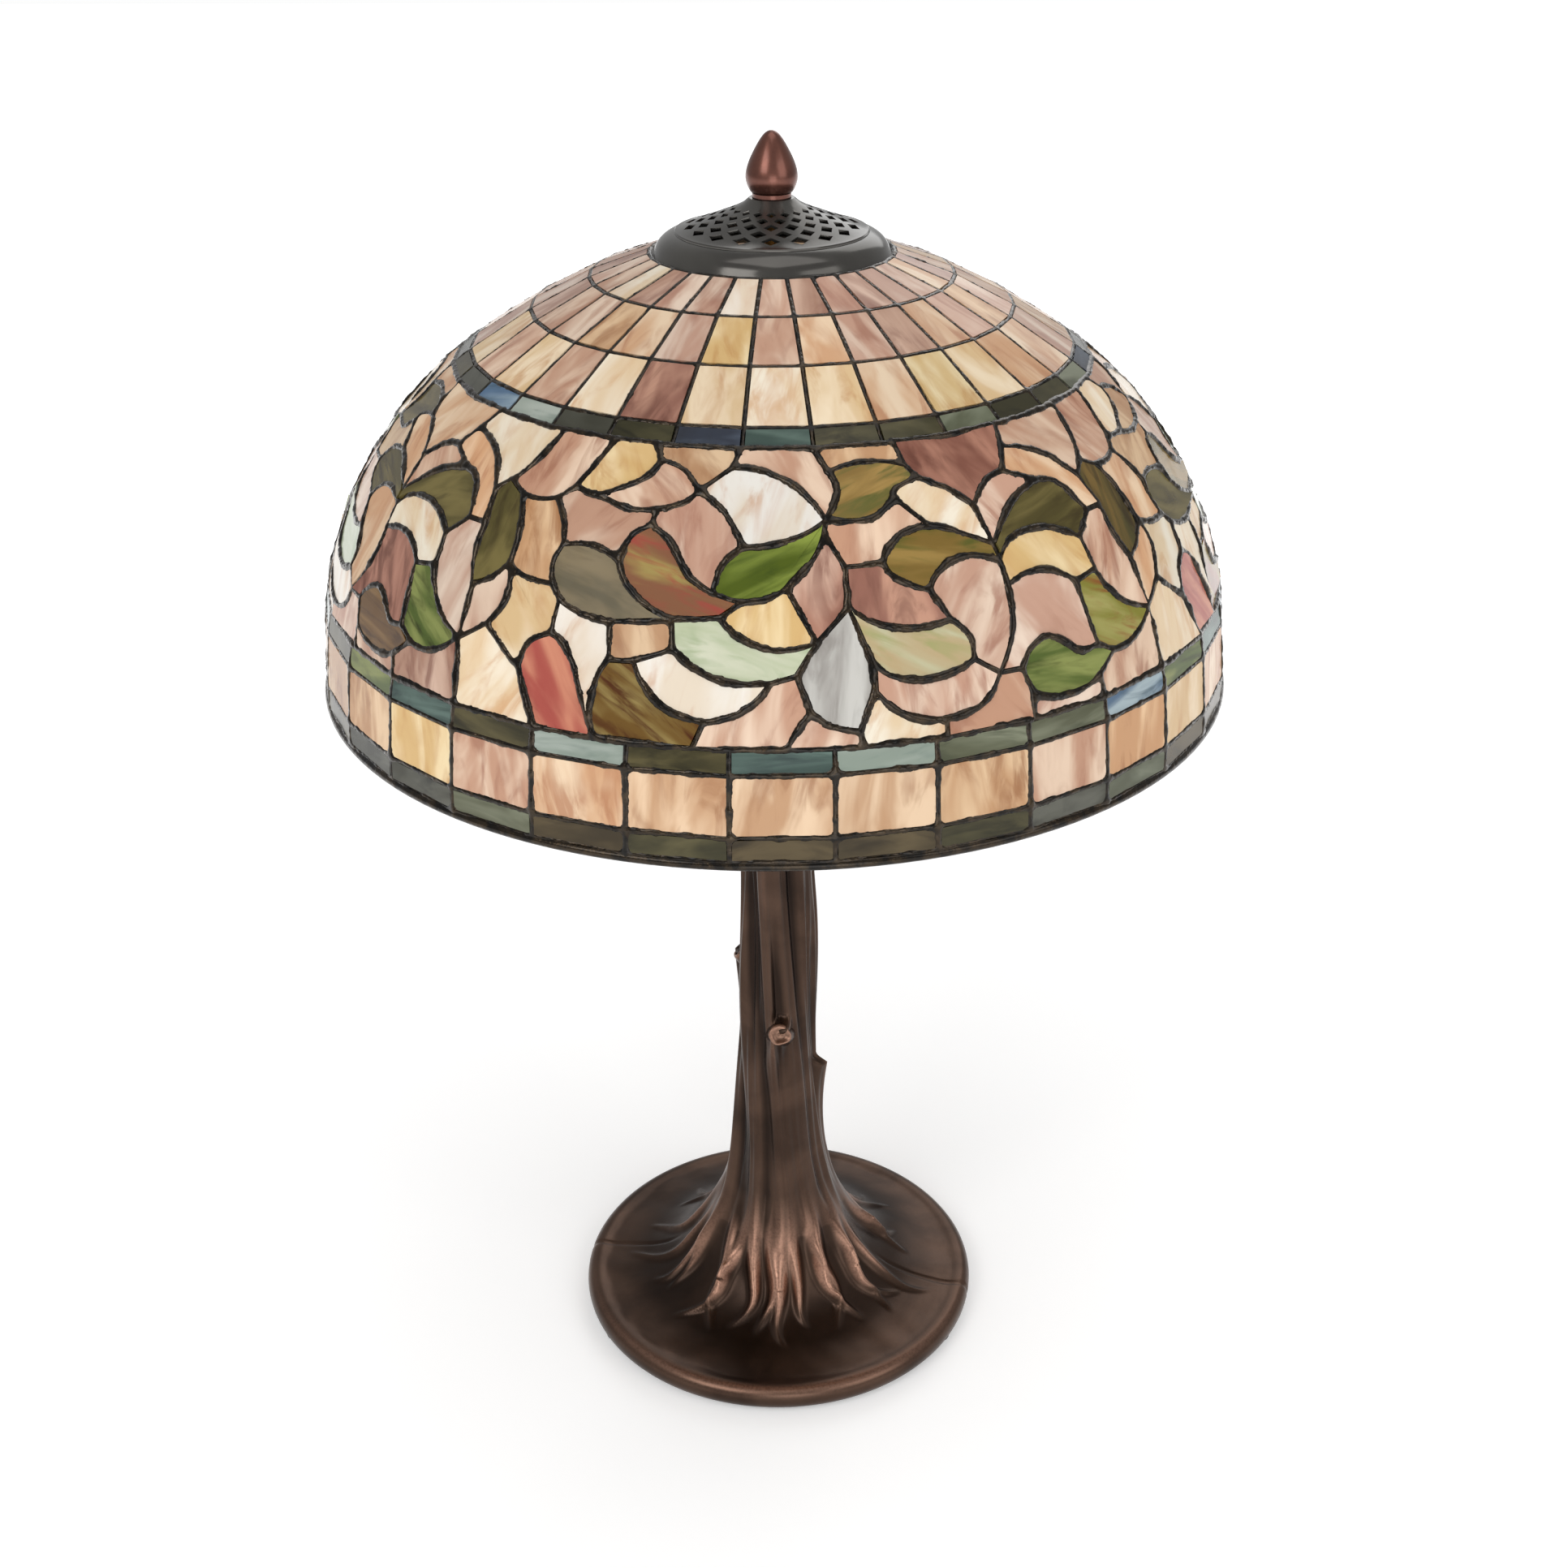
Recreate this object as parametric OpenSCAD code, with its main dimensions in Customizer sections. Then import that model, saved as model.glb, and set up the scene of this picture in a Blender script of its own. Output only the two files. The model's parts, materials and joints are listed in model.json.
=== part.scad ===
// Stained glass table lamp: a soldered dome shade on a cast tree-trunk stand.
// All lengths are in millimetres, +Z is up, the floor is z = 0, and -Y is the front.

/* [Overall sizes] */
// Shade diameter over the rim wire
shade_diameter = 406; // [330:1:490]
// Height from the floor to the finial tip
lamp_height = 597; // [490:1:720]
// Height of the shade from its rim to its top opening
shade_height = 181; // [150:1:220]
// Diameter of the round base
base_diameter = 204; // [170:1:250]

/* [Shade] */
// Number of panels in each plain row, a multiple of four
panel_count = 32; // [32:32:32]
// Glass thickness
glass_thickness = 2.8; // [2:0.1:4]
// Width of a solder seam
seam_width = 4.2; // [3:0.1:5.5]
// How far the solder stands above each face of the glass
seam_rise = 0.8; // [0.4:0.1:1.5]
// Wire diameter round the rim
rim_wire_diameter = 4; // [3:0.1:6]
// Radius of the top opening at the glass
opening_radius = 51.5; // [46:0.5:60]
// Turn of the seams from the front
seam_phase = -4; // [-5.5:0.25:5.5]

/* [Cap and finial] */
// Rim radius of the pierced cap
cap_radius = 41; // [38:0.5:45]
// Cap sheet thickness
cap_sheet = 1.2; // [0.8:0.1:2]
// Pierced diamonds in each row
cap_holes = 18; // [12:1:24]
// Finial diameter at its widest
finial_diameter = 22; // [17:0.5:30]
// Finial height above its washer
finial_height = 25; // [18:0.5:40]

/* [Stand] */
// Trunk diameter just under the shade
trunk_diameter = 36; // [28:0.5:48]
// Number of bark lobes round the trunk
bark_lobes = 11; // [7:1:15]
// Height of the bark lobes
bark_depth = 1.3; // [0.5:0.1:2.5]
// Wall thickness of the base casting
casting_wall = 4; // [3:0.1:6]
// Diameter of the main threaded tube
tube_diameter = 9.6; // [8:0.1:13]
// Diameter of the thin rod that carries the shade
rod_diameter = 6.3; // [5:0.1:8]
// Running clearance between a rod and its bore
running_clearance = 0.08; // [0.02:0.01:0.1]
// Loose clearance between fixed pieces
loose_clearance = 0.3; // [0.1:0.05:0.8]

/* [Lights] */
// Upward tilt of the lamp holders
holder_tilt = 20; // [0:1:35]
// Bulb diameter
bulb_diameter = 50; // [40:1:60]
// Screw diameter of the bulb base
bulb_screw = 26.2; // [13:0.1:27]
// Number of beads on each pull chain
chain_beads = 18; // [12:1:24]

/* [Hidden] */

// Heights worked out from the overall sizes
cap_stack = 48;
rim_z = lamp_height - shade_height - cap_stack;
top_z = rim_z + shade_height;
rim_radius = shade_diameter / 2 - rim_wire_diameter / 2 - 0.1;
stretch = (rim_radius - opening_radius) / (201 - 51.5);
rise = shade_height / 181;
half_seam = seam_width / 2;
seam_half_height = glass_thickness / 2 + seam_rise;
panel_angle = 360 / panel_count;

// Rings of the shade at the middle of the glass: radius, height above the rim
rings = [
  for (p = [[51.5, 181], [76.5, 172], [101.5, 159.5], [127.5, 143.5], [135, 138],
            [196, 44], [198, 34.5], [200.5, 10], [201, 0]])
    [opening_radius + (p[0] - 51.5) * stretch, rim_z + p[1] * rise]
];

// Leaf band: v runs from 0 at its top ring to 112 at its bottom ring
band_v = 112;
// Half the turn of the band's profile, in degrees
band_turn = 20;
// Length over which the band's edges ease from straight panels to the round dome
ease_v = 7;

band_top = rings[4];
band_low = rings[5];
band_chord = norm(band_low - band_top);
band_curve = band_chord / 2 / sin(band_turn);
band_dir = (band_low - band_top) / band_chord;
band_out = [-band_dir[1], band_dir[0]];
band_mid = (band_top + band_low) / 2;
band_centre = band_mid - band_out * band_curve * cos(band_turn);

function band_angle(v) = (v / band_v * 2 - 1) * band_turn;
function band_normal(v) = band_out * cos(band_angle(v)) + band_dir * sin(band_angle(v));
function band_point(v) = band_centre + band_normal(v) * band_curve;

function unit(a) = a / norm(a);
function tidy(p) = [for (c = p) round(c * 10000) / 10000];
function around(a, r, z) = [r * sin(a), -r * cos(a), z];

// Share of the straight panel in the surface at v
function panel_share(v) = let (d = min(v, band_v - v)) d >= ease_v ? 0 : 1 - d / ease_v;
// Shrink of the radius on the straight chord between two panel corners
function chord_shrink(a) =
  let (s = (a - seam_phase) / panel_angle, f = s - floor(s))
  cos(panel_angle / 2) / cos((f - 0.5) * panel_angle);
function dome(a, v) =
  let (p = band_point(v), k = 1 + (chord_shrink(a) - 1) * panel_share(v))
  around(a, p[0] * k, p[1]);
function dome_normal(a, v) = let (n = band_normal(v)) around(a, n[0], n[1]);

// Corner points of the leaf band's seams: degrees round the shade, v down the band
corners = [
  [-50.5, 0], [-34.7, 0], [-24.8, 0], [-17.8, 0], [-4, 0], [7.25, 0], [20, 0],
  [-52, 10], [-54, 19.5], [-49.3, 26],
  [29, 30], [29.7, 46], [30, 52], [30.3, 61.5], [26.8, 92],
  [-41, 30], [-40.2, 43.5], [-43, 43.5], [-39, 24.5], [-36, 29], [-30, 27.5], [-28, 22.5],
  [-23.8, 24], [-15, 27], [-9.6, 18.5], [-16.2, 6.8], [-5.2, 8.2], [7.8, 30], [9, 10.5],
  [20.7, 10.5], [22, 16], [17.7, 23], [21.5, 35], [14.6, 47], [9.7, 47.5], [7.4, 35],
  [2.4, 54.5], [-3, 39.3], [-6.5, 56.5], [-3, 59.8], [-5.3, 65], [5.7, 74], [9.6, 62],
  [3.3, 85.5], [21.7, 70], [12, 83], [23.8, 85.3], [19.8, 58.8],
  [-15.3, 33], [-18.6, 47], [-26.8, 44.5], [-26.8, 59.5], [-25.4, 64.5], [-18.4, 69.5],
  [-11, 66.8], [-33.7, 55.5], [-38.5, 66.5], [-38.4, 87], [-34.7, 79], [-29.3, 91.5],
  [-25.7, 77], [-19.9, 104], [-18, 83], [-15, 82.5], [-10.6, 77], [0.4, 88],
  [-6.8, 102.5], [4.7, 98.5], [10, 106], [12, 92.5], [19.8, 105.5],
  [-46.3, 52], [-46, 64.8], [-49.7, 67.2], [-49, 91.5], [-46.6, 96], [-60.3, 92.2],
  [-59.2, 102], [-49.3, 103],
  [-59.2, 112], [-49, 112], [-37.75, 112], [-26.5, 112], [-19.2, 112], [-8, 112],
  [2, 112], [10.4, 112], [19.8, 112]
];

// Seams: first corner, last corner, bends between them.
// 100 added to a corner means one repeat to the left, 200 one to the right.
seams = [
  [0, 1, [[-49, 0], [-37.75, 0]]], [1, 2, [[-26.5, 0]]], [2, 3, []], [3, 4, [[-15.25, 0]]],
  [4, 5, []], [5, 6, [[18.5, 0]]], [6, 200, [[29.75, 0]]],
  [79, 80, []], [80, 81, []], [81, 82, []], [82, 83, []], [83, 84, [[-15.25, 112]]],
  [84, 85, [[-4, 112]]], [85, 86, [[7.25, 112]]], [86, 87, [[18.5, 112]]],
  [87, 279, [[29.75, 112]]],
  [0, 7, []], [7, 8, []], [7, 15, [[-47.8, 12.8], [-44, 19]]], [15, 16, []],
  [1, 18, [[-37, 17]]], [18, 15, []], [18, 19, []], [19, 20, [[-33, 29.5]]],
  [20, 21, []], [2, 21, []], [21, 22, []], [22, 23, [[-19, 27.3]]],
  [23, 24, [[-11.7, 23.6]]], [3, 25, []], [25, 22, [[-17.9, 14.5]]],
  [25, 24, [[-12.3, 10.2]]], [4, 26, []], [26, 24, []],
  [26, 27, [[-1, 9], [3.7, 15], [6.4, 23]]], [5, 28, []],
  [28, 29, [[12.8, 7.4], [17.2, 7.6]]], [6, 29, []], [29, 30, []],
  [28, 27, [[9.8, 18]]], [27, 31, [[10.7, 30.3], [13.9, 30.2], [16, 27]]],
  [31, 30, [[18.6, 19]]], [31, 32, []], [32, 11, [[24.5, 37.6]]],
  [33, 32, [[15.6, 41.5], [18, 36.3]]], [33, 47, [[15.8, 52.8]]],
  [47, 12, [[21, 53.7], [23.3, 49.6], [26.5, 48.6]]], [34, 33, []], [27, 35, []],
  [35, 34, []], [35, 36, [[5.8, 44]]], [27, 37, [[5, 34.5], [1.4, 37.8]]],
  [24, 37, [[-5.8, 26]]], [37, 38, [[-5.4, 45.5]]], [38, 39, []], [39, 36, [[0, 58]]],
  [39, 40, []], [36, 41, []], [40, 41, [[-3.8, 70], [-0.8, 75], [2.6, 76.4]]],
  [42, 41, []], [34, 42, []], [41, 43, []], [42, 45, []],
  [42, 44, [[12.6, 68.4], [17, 71.2]]], [44, 46, [[23.7, 77]]],
  [45, 46, [[14.3, 88], [18.2, 90], [21.6, 88.4]]], [47, 44, []], [12, 13, []],
  [13, 14, [[29.6, 77]]], [46, 14, []], [10, 30, [[26, 22]]], [10, 11, []], [11, 12, []],
  [8, 110, [[-57.4, 21.3]]], [8, 9, []], [9, 111, [[-54.8, 31.5]]],
  [9, 17, [[-45.6, 29.5]]], [16, 17, []], [17, 71, []],
  [112, 71, [[-58, 46.2], [-54.5, 43.5], [-50.3, 45.3]]], [71, 72, []],
  [113, 73, [[-57.3, 59.2], [-54.2, 59], [-51.5, 62.3]]], [73, 72, []],
  [72, 57, [[-44.8, 72.5], [-42.2, 81]]], [73, 74, []], [74, 75, []],
  [76, 74, [[-58.6, 86], [-56, 83.3], [-53.5, 87.3], [-51.6, 92]]], [76, 77, []],
  [77, 78, [[-57, 105.4], [-53.8, 106.6], [-51, 105.4]]], [78, 75, []], [114, 76, []],
  [57, 75, [[-40.7, 92.4], [-43.5, 96.2]]], [16, 56, [[-39.9, 55]]],
  [19, 55, [[-34.2, 41]]], [55, 56, [[-35.8, 62]]], [55, 58, [[-32.8, 67]]],
  [56, 57, []], [58, 57, []], [57, 81, []], [20, 50, [[-28, 35]]],
  [50, 49, [[-24, 43], [-21, 44]]], [50, 51, [[-27.5, 52]]], [55, 51, [[-31, 58.8]]],
  [51, 52, []], [52, 53, [[-22.3, 68.2]]], [53, 54, []],
  [49, 54, [[-17.4, 54.5], [-14.6, 62]]], [23, 48, []], [48, 49, [[-17.7, 38]]],
  [48, 38, [[-12.3, 39], [-9.8, 49.3]]], [54, 40, []], [54, 64, []], [53, 62, []],
  [62, 63, []], [63, 64, []], [64, 65, [[-7.8, 83.7], [-3.8, 88.2]]], [65, 43, []],
  [65, 66, [[-1.2, 94.3], [-3.7, 99.8]]], [63, 66, [[-13.8, 90], [-11.3, 98]]],
  [66, 84, []], [52, 60, []], [60, 61, [[-23, 83]]],
  [62, 61, [[-19.3, 91]]], [61, 83, []], [58, 59, []], [59, 60, [[-28.3, 82]]],
  [59, 82, []], [43, 67, []], [67, 85, []], [67, 68, [[7, 103.6]]], [45, 69, []],
  [69, 68, []], [69, 70, [[14, 99.3], [16.7, 104]]], [14, 70, [[25.2, 99.6], [22.8, 103.9]]],
  [70, 87, []], [68, 86, []], [77, 79, []], [78, 80, []]
];

// Glass pieces of one repeat: family, corners in order
pieces = [
  ["high", [0, 1, 18, 15, 7]], ["high", [1, 2, 21, 20, 19, 18]], ["high", [2, 3, 25, 22, 21]],
  ["high", [25, 24, 23, 22]], ["high", [3, 4, 26, 24, 25]], ["high", [4, 5, 28, 27, 26]],
  ["high", [5, 6, 29, 28]], ["amber", [28, 29, 30, 31, 27]],
  ["high", [6, 200, 207, 208, 10, 30, 29]], ["high", [7, 15, 16, 17, 9, 8]],
  ["high", [8, 9, 111, 110]], ["olive", [9, 17, 71, 112, 111]],
  ["low", [112, 71, 72, 73, 113]], ["low", [113, 73, 74, 76, 114]],
  ["green", [73, 72, 57, 75, 74]], ["low", [17, 16, 56, 57, 72, 71]],
  ["olive", [15, 18, 19, 55, 56, 16]], ["low", [56, 55, 58, 57]],
  ["amber", [76, 74, 75, 78, 77]], ["low", [77, 78, 80, 79]], ["low", [75, 57, 81, 80, 78]],
  ["low", [57, 58, 59, 82, 81]], ["high", [19, 20, 50, 51, 55]],
  ["high", [21, 22, 23, 48, 49, 50, 20]], ["low", [55, 51, 52, 60, 59, 58]],
  ["low", [52, 53, 62, 61, 60]], ["olive", [50, 49, 54, 53, 52, 51]],
  ["low", [53, 54, 64, 63, 62]], ["high", [23, 24, 37, 38, 48]],
  ["amber", [48, 38, 39, 40, 54, 49]], ["high", [26, 27, 37, 24]],
  ["green", [27, 35, 36, 39, 38, 37]], ["high", [35, 34, 42, 41, 36]],
  ["low", [39, 36, 41, 40]], ["pale", [40, 41, 43, 65, 64, 54]],
  ["pale", [41, 42, 45, 69, 68, 67, 43]], ["low", [63, 64, 65, 66]],
  ["low", [65, 43, 67, 85, 84, 66]], ["low", [67, 68, 86, 85]], ["low", [69, 70, 87, 86, 68]],
  ["rose", [59, 60, 61, 83, 82]], ["amber", [62, 63, 66, 84, 83, 61]],
  ["high", [30, 10, 11, 32, 31]], ["high", [27, 31, 32, 33, 34, 35]],
  ["amber", [32, 11, 12, 47, 33]], ["low", [34, 33, 47, 44, 42]],
  ["pale", [42, 44, 46, 45]], ["low", [45, 46, 14, 70, 69]],
  ["low", [47, 12, 13, 14, 46, 44]], ["low", [14, 276, 277, 279, 87, 70]]
];

function shift_of(id) = id >= 200 ? 1 : id >= 100 ? -1 : 0;
function corner(id) = corners[id % 100] + [90 * shift_of(id), 0];
function same(a, b) = a % 100 == b % 100;
function moved(points, turns) = [for (p = points) p + [90 * turns, 0]];
function backward(list) = [for (i = [len(list) - 1:-1:0]) list[i]];
function bends(p, q) =
  let (
    ahead = [for (s = seams) if (same(s[0], p) && same(s[1], q)) s],
    back = [for (s = seams) if (same(s[1], p) && same(s[0], q)) s]
  )
  len(ahead) > 0
    ? moved(ahead[0][2], shift_of(p) - shift_of(ahead[0][0]))
    : moved(backward(back[0][2]), shift_of(p) - shift_of(back[0][1]));
function outline(ids) = [
  for (i = [0:len(ids) - 1])
    each concat([corner(ids[i])], bends(ids[i], ids[(i + 1) % len(ids)]))
];

function sum(list, i = 0) = i == len(list) - 1 ? list[i] : list[i] + sum(list, i + 1);
function loop_normal(points) =
  let (n = len(points), c = sum(points) / n)
  unit(sum([for (i = [0:n - 1]) cross(points[i] - c, points[(i + 1) % n] - c)]));
function inset(points, d) =
  let (n = len(points))
  [
    for (i = [0:n - 1])
      let (
        a = unit(points[i] - points[(i + n - 1) % n]),
        b = unit(points[(i + 1) % n] - points[i]),
        m = [-a[1] - b[1], a[0] + b[0]],
        k = 1 + a[0] * b[0] + a[1] * b[1]
      )
      points[i] + m * d / max(k, 0.3)
  ];

// One glass piece and its share of the solder:
// [edge points, normals, inset points, plane normal, sheet x, sheet y, centre, flat outline]
function frame_of(edge, normals) =
  let (
    n = len(edge),
    c = sum(edge) / n,
    w = loop_normal(edge),
    ex = unit(cross([0, 0, 1], w)),
    ey = cross(w, ex),
    flat = [for (p = edge) [(p - c) * ex, (p - c) * ey]],
    cut = inset(flat, half_seam)
  )
  [edge, normals, [for (q = cut) c + ex * q[0] + ey * q[1]], w, ex, ey, c, cut];

function band_frame(uv) =
  frame_of([for (p = uv) dome(p[0], p[1])], [for (p = uv) dome_normal(p[0], p[1])]);
// Outlines wound so that the piece's normal faces outward
function outward(uv) =
  let (
    n = len(uv),
    area = sum([for (i = [0:n - 1]) let (a = uv[i], b = uv[(i + 1) % n]) a[0] * b[1] - b[0] * a[1]])
  )
  area > 0 ? backward(uv) : uv;

outlines = [for (p = pieces) [p[0], outward(outline(p[1]))]];
function family_frames(family) = [
  for (t = [0:3])
    for (o = outlines)
      if (family == "all" || o[0] == family) band_frame(moved(o[1], t))
];

// Plain rows: four corners of panel i in the row under ring k
function row_frame(k, i) =
  let (
    a = seam_phase + i * panel_angle,
    b = a + panel_angle,
    hi = rings[k],
    lo = rings[k + 1]
  )
  frame_of(
    [around(a, lo[0], lo[1]), around(b, lo[0], lo[1]), around(b, hi[0], hi[1]), around(a, hi[0], hi[1])],
    [around(a, 1, 0), around(b, 1, 0), around(b, 1, 0), around(a, 1, 0)]
  );

// Offset of a grid corner on ring k, so that neighbouring panels keep flat faces
function slope(k) = unit(rings[k + 1] - rings[k]);
function lean(k) = [-slope(k)[1], slope(k)[0]];
function row_gap(k) = norm([lean(k)[0] * cos(panel_angle / 2), lean(k)[1]]);
function ring_offset(k, first, last) =
  k == first ? lean(k) / row_gap(k)
  : k == last ? lean(k - 1) / row_gap(k - 1)
  : let (
      a = lean(k - 1), b = lean(k),
      ga = row_gap(k - 1), gb = row_gap(k),
      det = a[0] * b[1] - a[1] * b[0]
    )
    abs(det) < 0.0001 ? a / ga : [(ga * b[1] - gb * a[1]), (gb * a[0] - ga * b[0])] / det;

// Every piece of glass is a flat sheet cut to its outline
module glass(frames) {
  color("Wheat")
    for (f = frames)
      multmatrix([for (i = [0:2]) [f[4][i], f[5][i], f[3][i], f[6][i]]])
        linear_extrude(height = glass_thickness, center = true)
          polygon(f[7]);
}

// Solder between the pieces: top, sides and underside of every piece's frame, then the open edges.
// A frame is [edge tops, edge bottoms, inset points, plane normal, open edges].
module solder(frames) {
  color("DimGray")
    polyhedron(
      points = [
        for (f = frames)
          each concat(
            [for (p = f[0]) tidy(p)],
            [for (p = f[1]) tidy(p)],
            [for (p = f[2]) tidy(p + f[3] * seam_half_height)],
            [for (p = f[2]) tidy(p - f[3] * seam_half_height)]
          )
      ],
      faces = [
        for (j = [0:len(frames) - 1])
          let (f = frames[j], n = len(f[0]), s = net_start(frames, j))
          for (i = [0:n - 1])
            let (k = (i + 1) % n, t = s, b = s + n, ti = s + 2 * n, bi = s + 3 * n)
            each concat(
              [[t + i, ti + k, t + k], [t + i, ti + i, ti + k]],
              [[b + i, b + k, bi + k], [b + i, bi + k, bi + i]],
              [[ti + i, bi + i, bi + k, ti + k]],
              f[4][i] ? [[t + i, t + k, b + k], [t + i, b + k, b + i]] : []
            )
      ]
    );
}
function net_start(frames, j, i = 0, s = 0) =
  i == j ? s : net_start(frames, j, i + 1, s + 4 * len(frames[i][0]));

function band_net() = [
  for (t = [0:3])
    for (o = outlines)
      let (uv = moved(o[1], t), f = band_frame(uv), n = len(uv))
      [
        [for (i = [0:n - 1]) edge_point(uv[i], 1)],
        [for (i = [0:n - 1]) edge_point(uv[i], -1)],
        f[2], f[3],
        [for (i = [0:n - 1]) let (a = uv[i][1], b = uv[(i + 1) % n][1]) a == b && (a == 0 || a == band_v)]
      ]
];
// Top or bottom solder edge; on the band's two rings it meets the plain rows' solder
function edge_point(uv, side) =
  uv[1] == 0 ? ring_edge(uv[0], 4, ring_offset(4, 0, 4), side)
  : uv[1] == band_v ? ring_edge(uv[0], 5, ring_offset(5, 5, 8), side)
  : dome(uv[0], uv[1]) + dome_normal(uv[0], uv[1]) * seam_half_height * side;
function ring_edge(a, k, offset, side) =
  let (p = rings[k] + offset * seam_half_height * side)
  around(a, p[0] * chord_shrink(a), p[1]);

function row_net(first, last) = [
  for (k = [first:last - 1])
    for (i = [0:panel_count - 1])
      let (
        f = row_frame(k, i),
        a = seam_phase + i * panel_angle,
        b = a + panel_angle,
        oh = ring_offset(k, first, last),
        ol = ring_offset(k + 1, first, last)
      )
      [
        [for (c = [[a, k + 1, ol], [b, k + 1, ol], [b, k, oh], [a, k, oh]]) ring_edge(c[0], c[1], c[2], 1)],
        [for (c = [[a, k + 1, ol], [b, k + 1, ol], [b, k, oh], [a, k, oh]]) ring_edge(c[0], c[1], c[2], -1)],
        f[2], f[3],
        [k + 1 == last, false, k == first, false]
      ]
];

module glass_row(k) {
  glass([for (i = [0:panel_count - 1]) row_frame(k, i)]);
}
module glass_row_top() { glass_row(0); }
module glass_row_middle() { glass_row(1); }
module glass_row_lower() { glass_row(2); }
module glass_upper_border() { glass_row(3); }
module glass_lower_border() { glass_row(5); }
module glass_skirt_row() { glass_row(6); }
module glass_bottom_border() { glass_row(7); }
module glass_background_high() { glass(family_frames("high")); }
module glass_background_low() { glass(family_frames("low")); }
module glass_olive_leaves() { glass(family_frames("olive")); }
module glass_green_leaves() { glass(family_frames("green")); }
module glass_amber_leaves() { glass(family_frames("amber")); }
module glass_pale_leaves() { glass(family_frames("pale")); }
module glass_rose_petals() { glass(family_frames("rose")); }
module seams_upper() { solder(row_net(0, 4)); }
module seams_leaf_band() { solder(band_net()); }
module seams_lower() { solder(row_net(5, 8)); }

module rim_wire() {
  color("DimGray")
    translate([0, 0, rim_z - rim_wire_diameter / 2 + 0.4])
      rotate_extrude($fn = 128)
        translate([rim_radius, 0])
          circle(d = rim_wire_diameter, $fn = 24);
}

// Turned pieces are drawn as a closed outline of [radius, height] points
module turned(points, fn = 96) {
  rotate_extrude($fn = fn)
    polygon(points);
}
module hex(across, height) {
  cylinder(d = across / cos(30), h = height, $fn = 6);
}

// The soldered ring at the top of the shade, with a flange that rests on the support wheel
flange_z = top_z - 1.4;
// The lip follows the cap that sits on it, the foot follows the glass, and the wall runs between them
collar_lip = cap_radius + 2;
collar_foot = opening_radius + 0.6;
collar_wall = 0.5;
module shade_collar() {
  wide = collar_foot - collar_lip;
  inner = collar_lip - collar_wall;
  ledge = opening_radius - 12;
  color("SlateGray")
    turned([
      [collar_lip - 4, top_z + 9.3], [collar_lip, top_z + 8.8], [collar_lip + wide * 0.42, top_z + 7.1],
      [collar_lip + wide * 0.69, top_z + 4.4], [collar_lip + wide * 0.77, top_z + 1.6],
      [collar_foot, top_z + 0.6], [collar_foot, flange_z], [ledge, flange_z], [ledge, flange_z + 1.4],
      [inner + wide * 0.66, flange_z + 1.4], [inner + wide * 0.615, top_z + 3.6],
      [inner + wide * 0.374, top_z + 6], [inner, top_z + 7.5], [collar_lip - 4, top_z + 8]
    ]);
}

// Pierced cap: a flared sheet with a boss for the rod
cap_seat_z = top_z + 9.3;
cap_slope = [[9.5, 21.8], [12, 19.8], [21.5, 16], [34, 11.3], [cap_radius, 9.3]];
module pierced_cap() {
  color("SlateGray")
    difference() {
      turned(concat(
        [for (p = cap_slope) [p[0], top_z + p[1] + cap_sheet]],
        [for (p = backward(cap_slope)) [p[0] - 0.4, top_z + p[1]]],
        [[4.2, top_z + 20.2], [rod_diameter / 2 + loose_clearance, top_z + 20.2],
         [rod_diameter / 2 + loose_clearance, top_z + 21.8 + cap_sheet]]
      ));
      for (row = [0:4])
        for (i = [0:cap_holes - 1])
          rotate((i + (row % 2) / 2) * 360 / cap_holes)
            translate([0, -(18 + row * 4), top_z])
              scale([0.72 + row * 0.16, 1, 1])
                cylinder(r = 1.75, h = 40, $fn = 4);
    }
}

finial_z = top_z + 21.8 + cap_sheet;
washer_height = 1.6;
module finial_washer() {
  color("Peru")
    translate([0, 0, finial_z])
      difference() {
        cylinder(d = finial_diameter * 0.745, h = washer_height, $fn = 64);
        translate([0, 0, -1])
          cylinder(r = rod_diameter / 2 + running_clearance, h = washer_height + 2, $fn = 64);
      }
}
module finial() {
  w = finial_diameter / 22;
  h = finial_height / 25;
  z = finial_z + washer_height;
  bore = rod_diameter / 2 + running_clearance;
  color("Peru")
    turned([
      [bore, z], [8 * w, z], [8.4 * w, z + 0.8 * h], [9.6 * w, z + 2.4 * h], [10.6 * w, z + 4.6 * h],
      [11 * w, z + 7 * h], [10.7 * w, z + 9.4 * h], [9.7 * w, z + 12.4 * h], [8.3 * w, z + 15.6 * h],
      [6.7 * w, z + 18.8 * h], [5.2 * w, z + 21.4 * h], [3.8 * w, z + 23.4 * h],
      [2.2 * w, z + 24.6 * h], [0, z + 25 * h], [0, z + 14 * h], [bore, z + 14 * h]
    ]);
}

// Rod, support wheel and nut inside the shade
rod_top = finial_z + washer_height + finial_height * 0.46;
cluster_z = rim_z + 6;
module shade_rod() {
  color("Goldenrod")
    translate([0, 0, cluster_z + 6])
      cylinder(d = rod_diameter, h = rod_top - cluster_z - 6, $fn = 48);
}
wheel_thickness = 2.4;
module shade_support() {
  r = opening_radius;
  color("Goldenrod")
    difference() {
      union() {
        translate([0, 0, flange_z - 8])
          cylinder(r = 8.5, h = 8, $fn = 64);
        translate([0, 0, flange_z - wheel_thickness])
          difference() {
            cylinder(r = r - 4, h = wheel_thickness, $fn = 96);
            translate([0, 0, -1])
              cylinder(r = r - 14, h = wheel_thickness + 2, $fn = 96);
          }
        for (i = [0:3])
          rotate(i * 90 + 45)
            translate([7, -3, flange_z - wheel_thickness])
              cube([r - 19, 6, wheel_thickness]);
      }
      translate([0, 0, flange_z - 10])
        cylinder(r = rod_diameter / 2 + loose_clearance / 2, h = 20, $fn = 64);
    }
}
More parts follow.
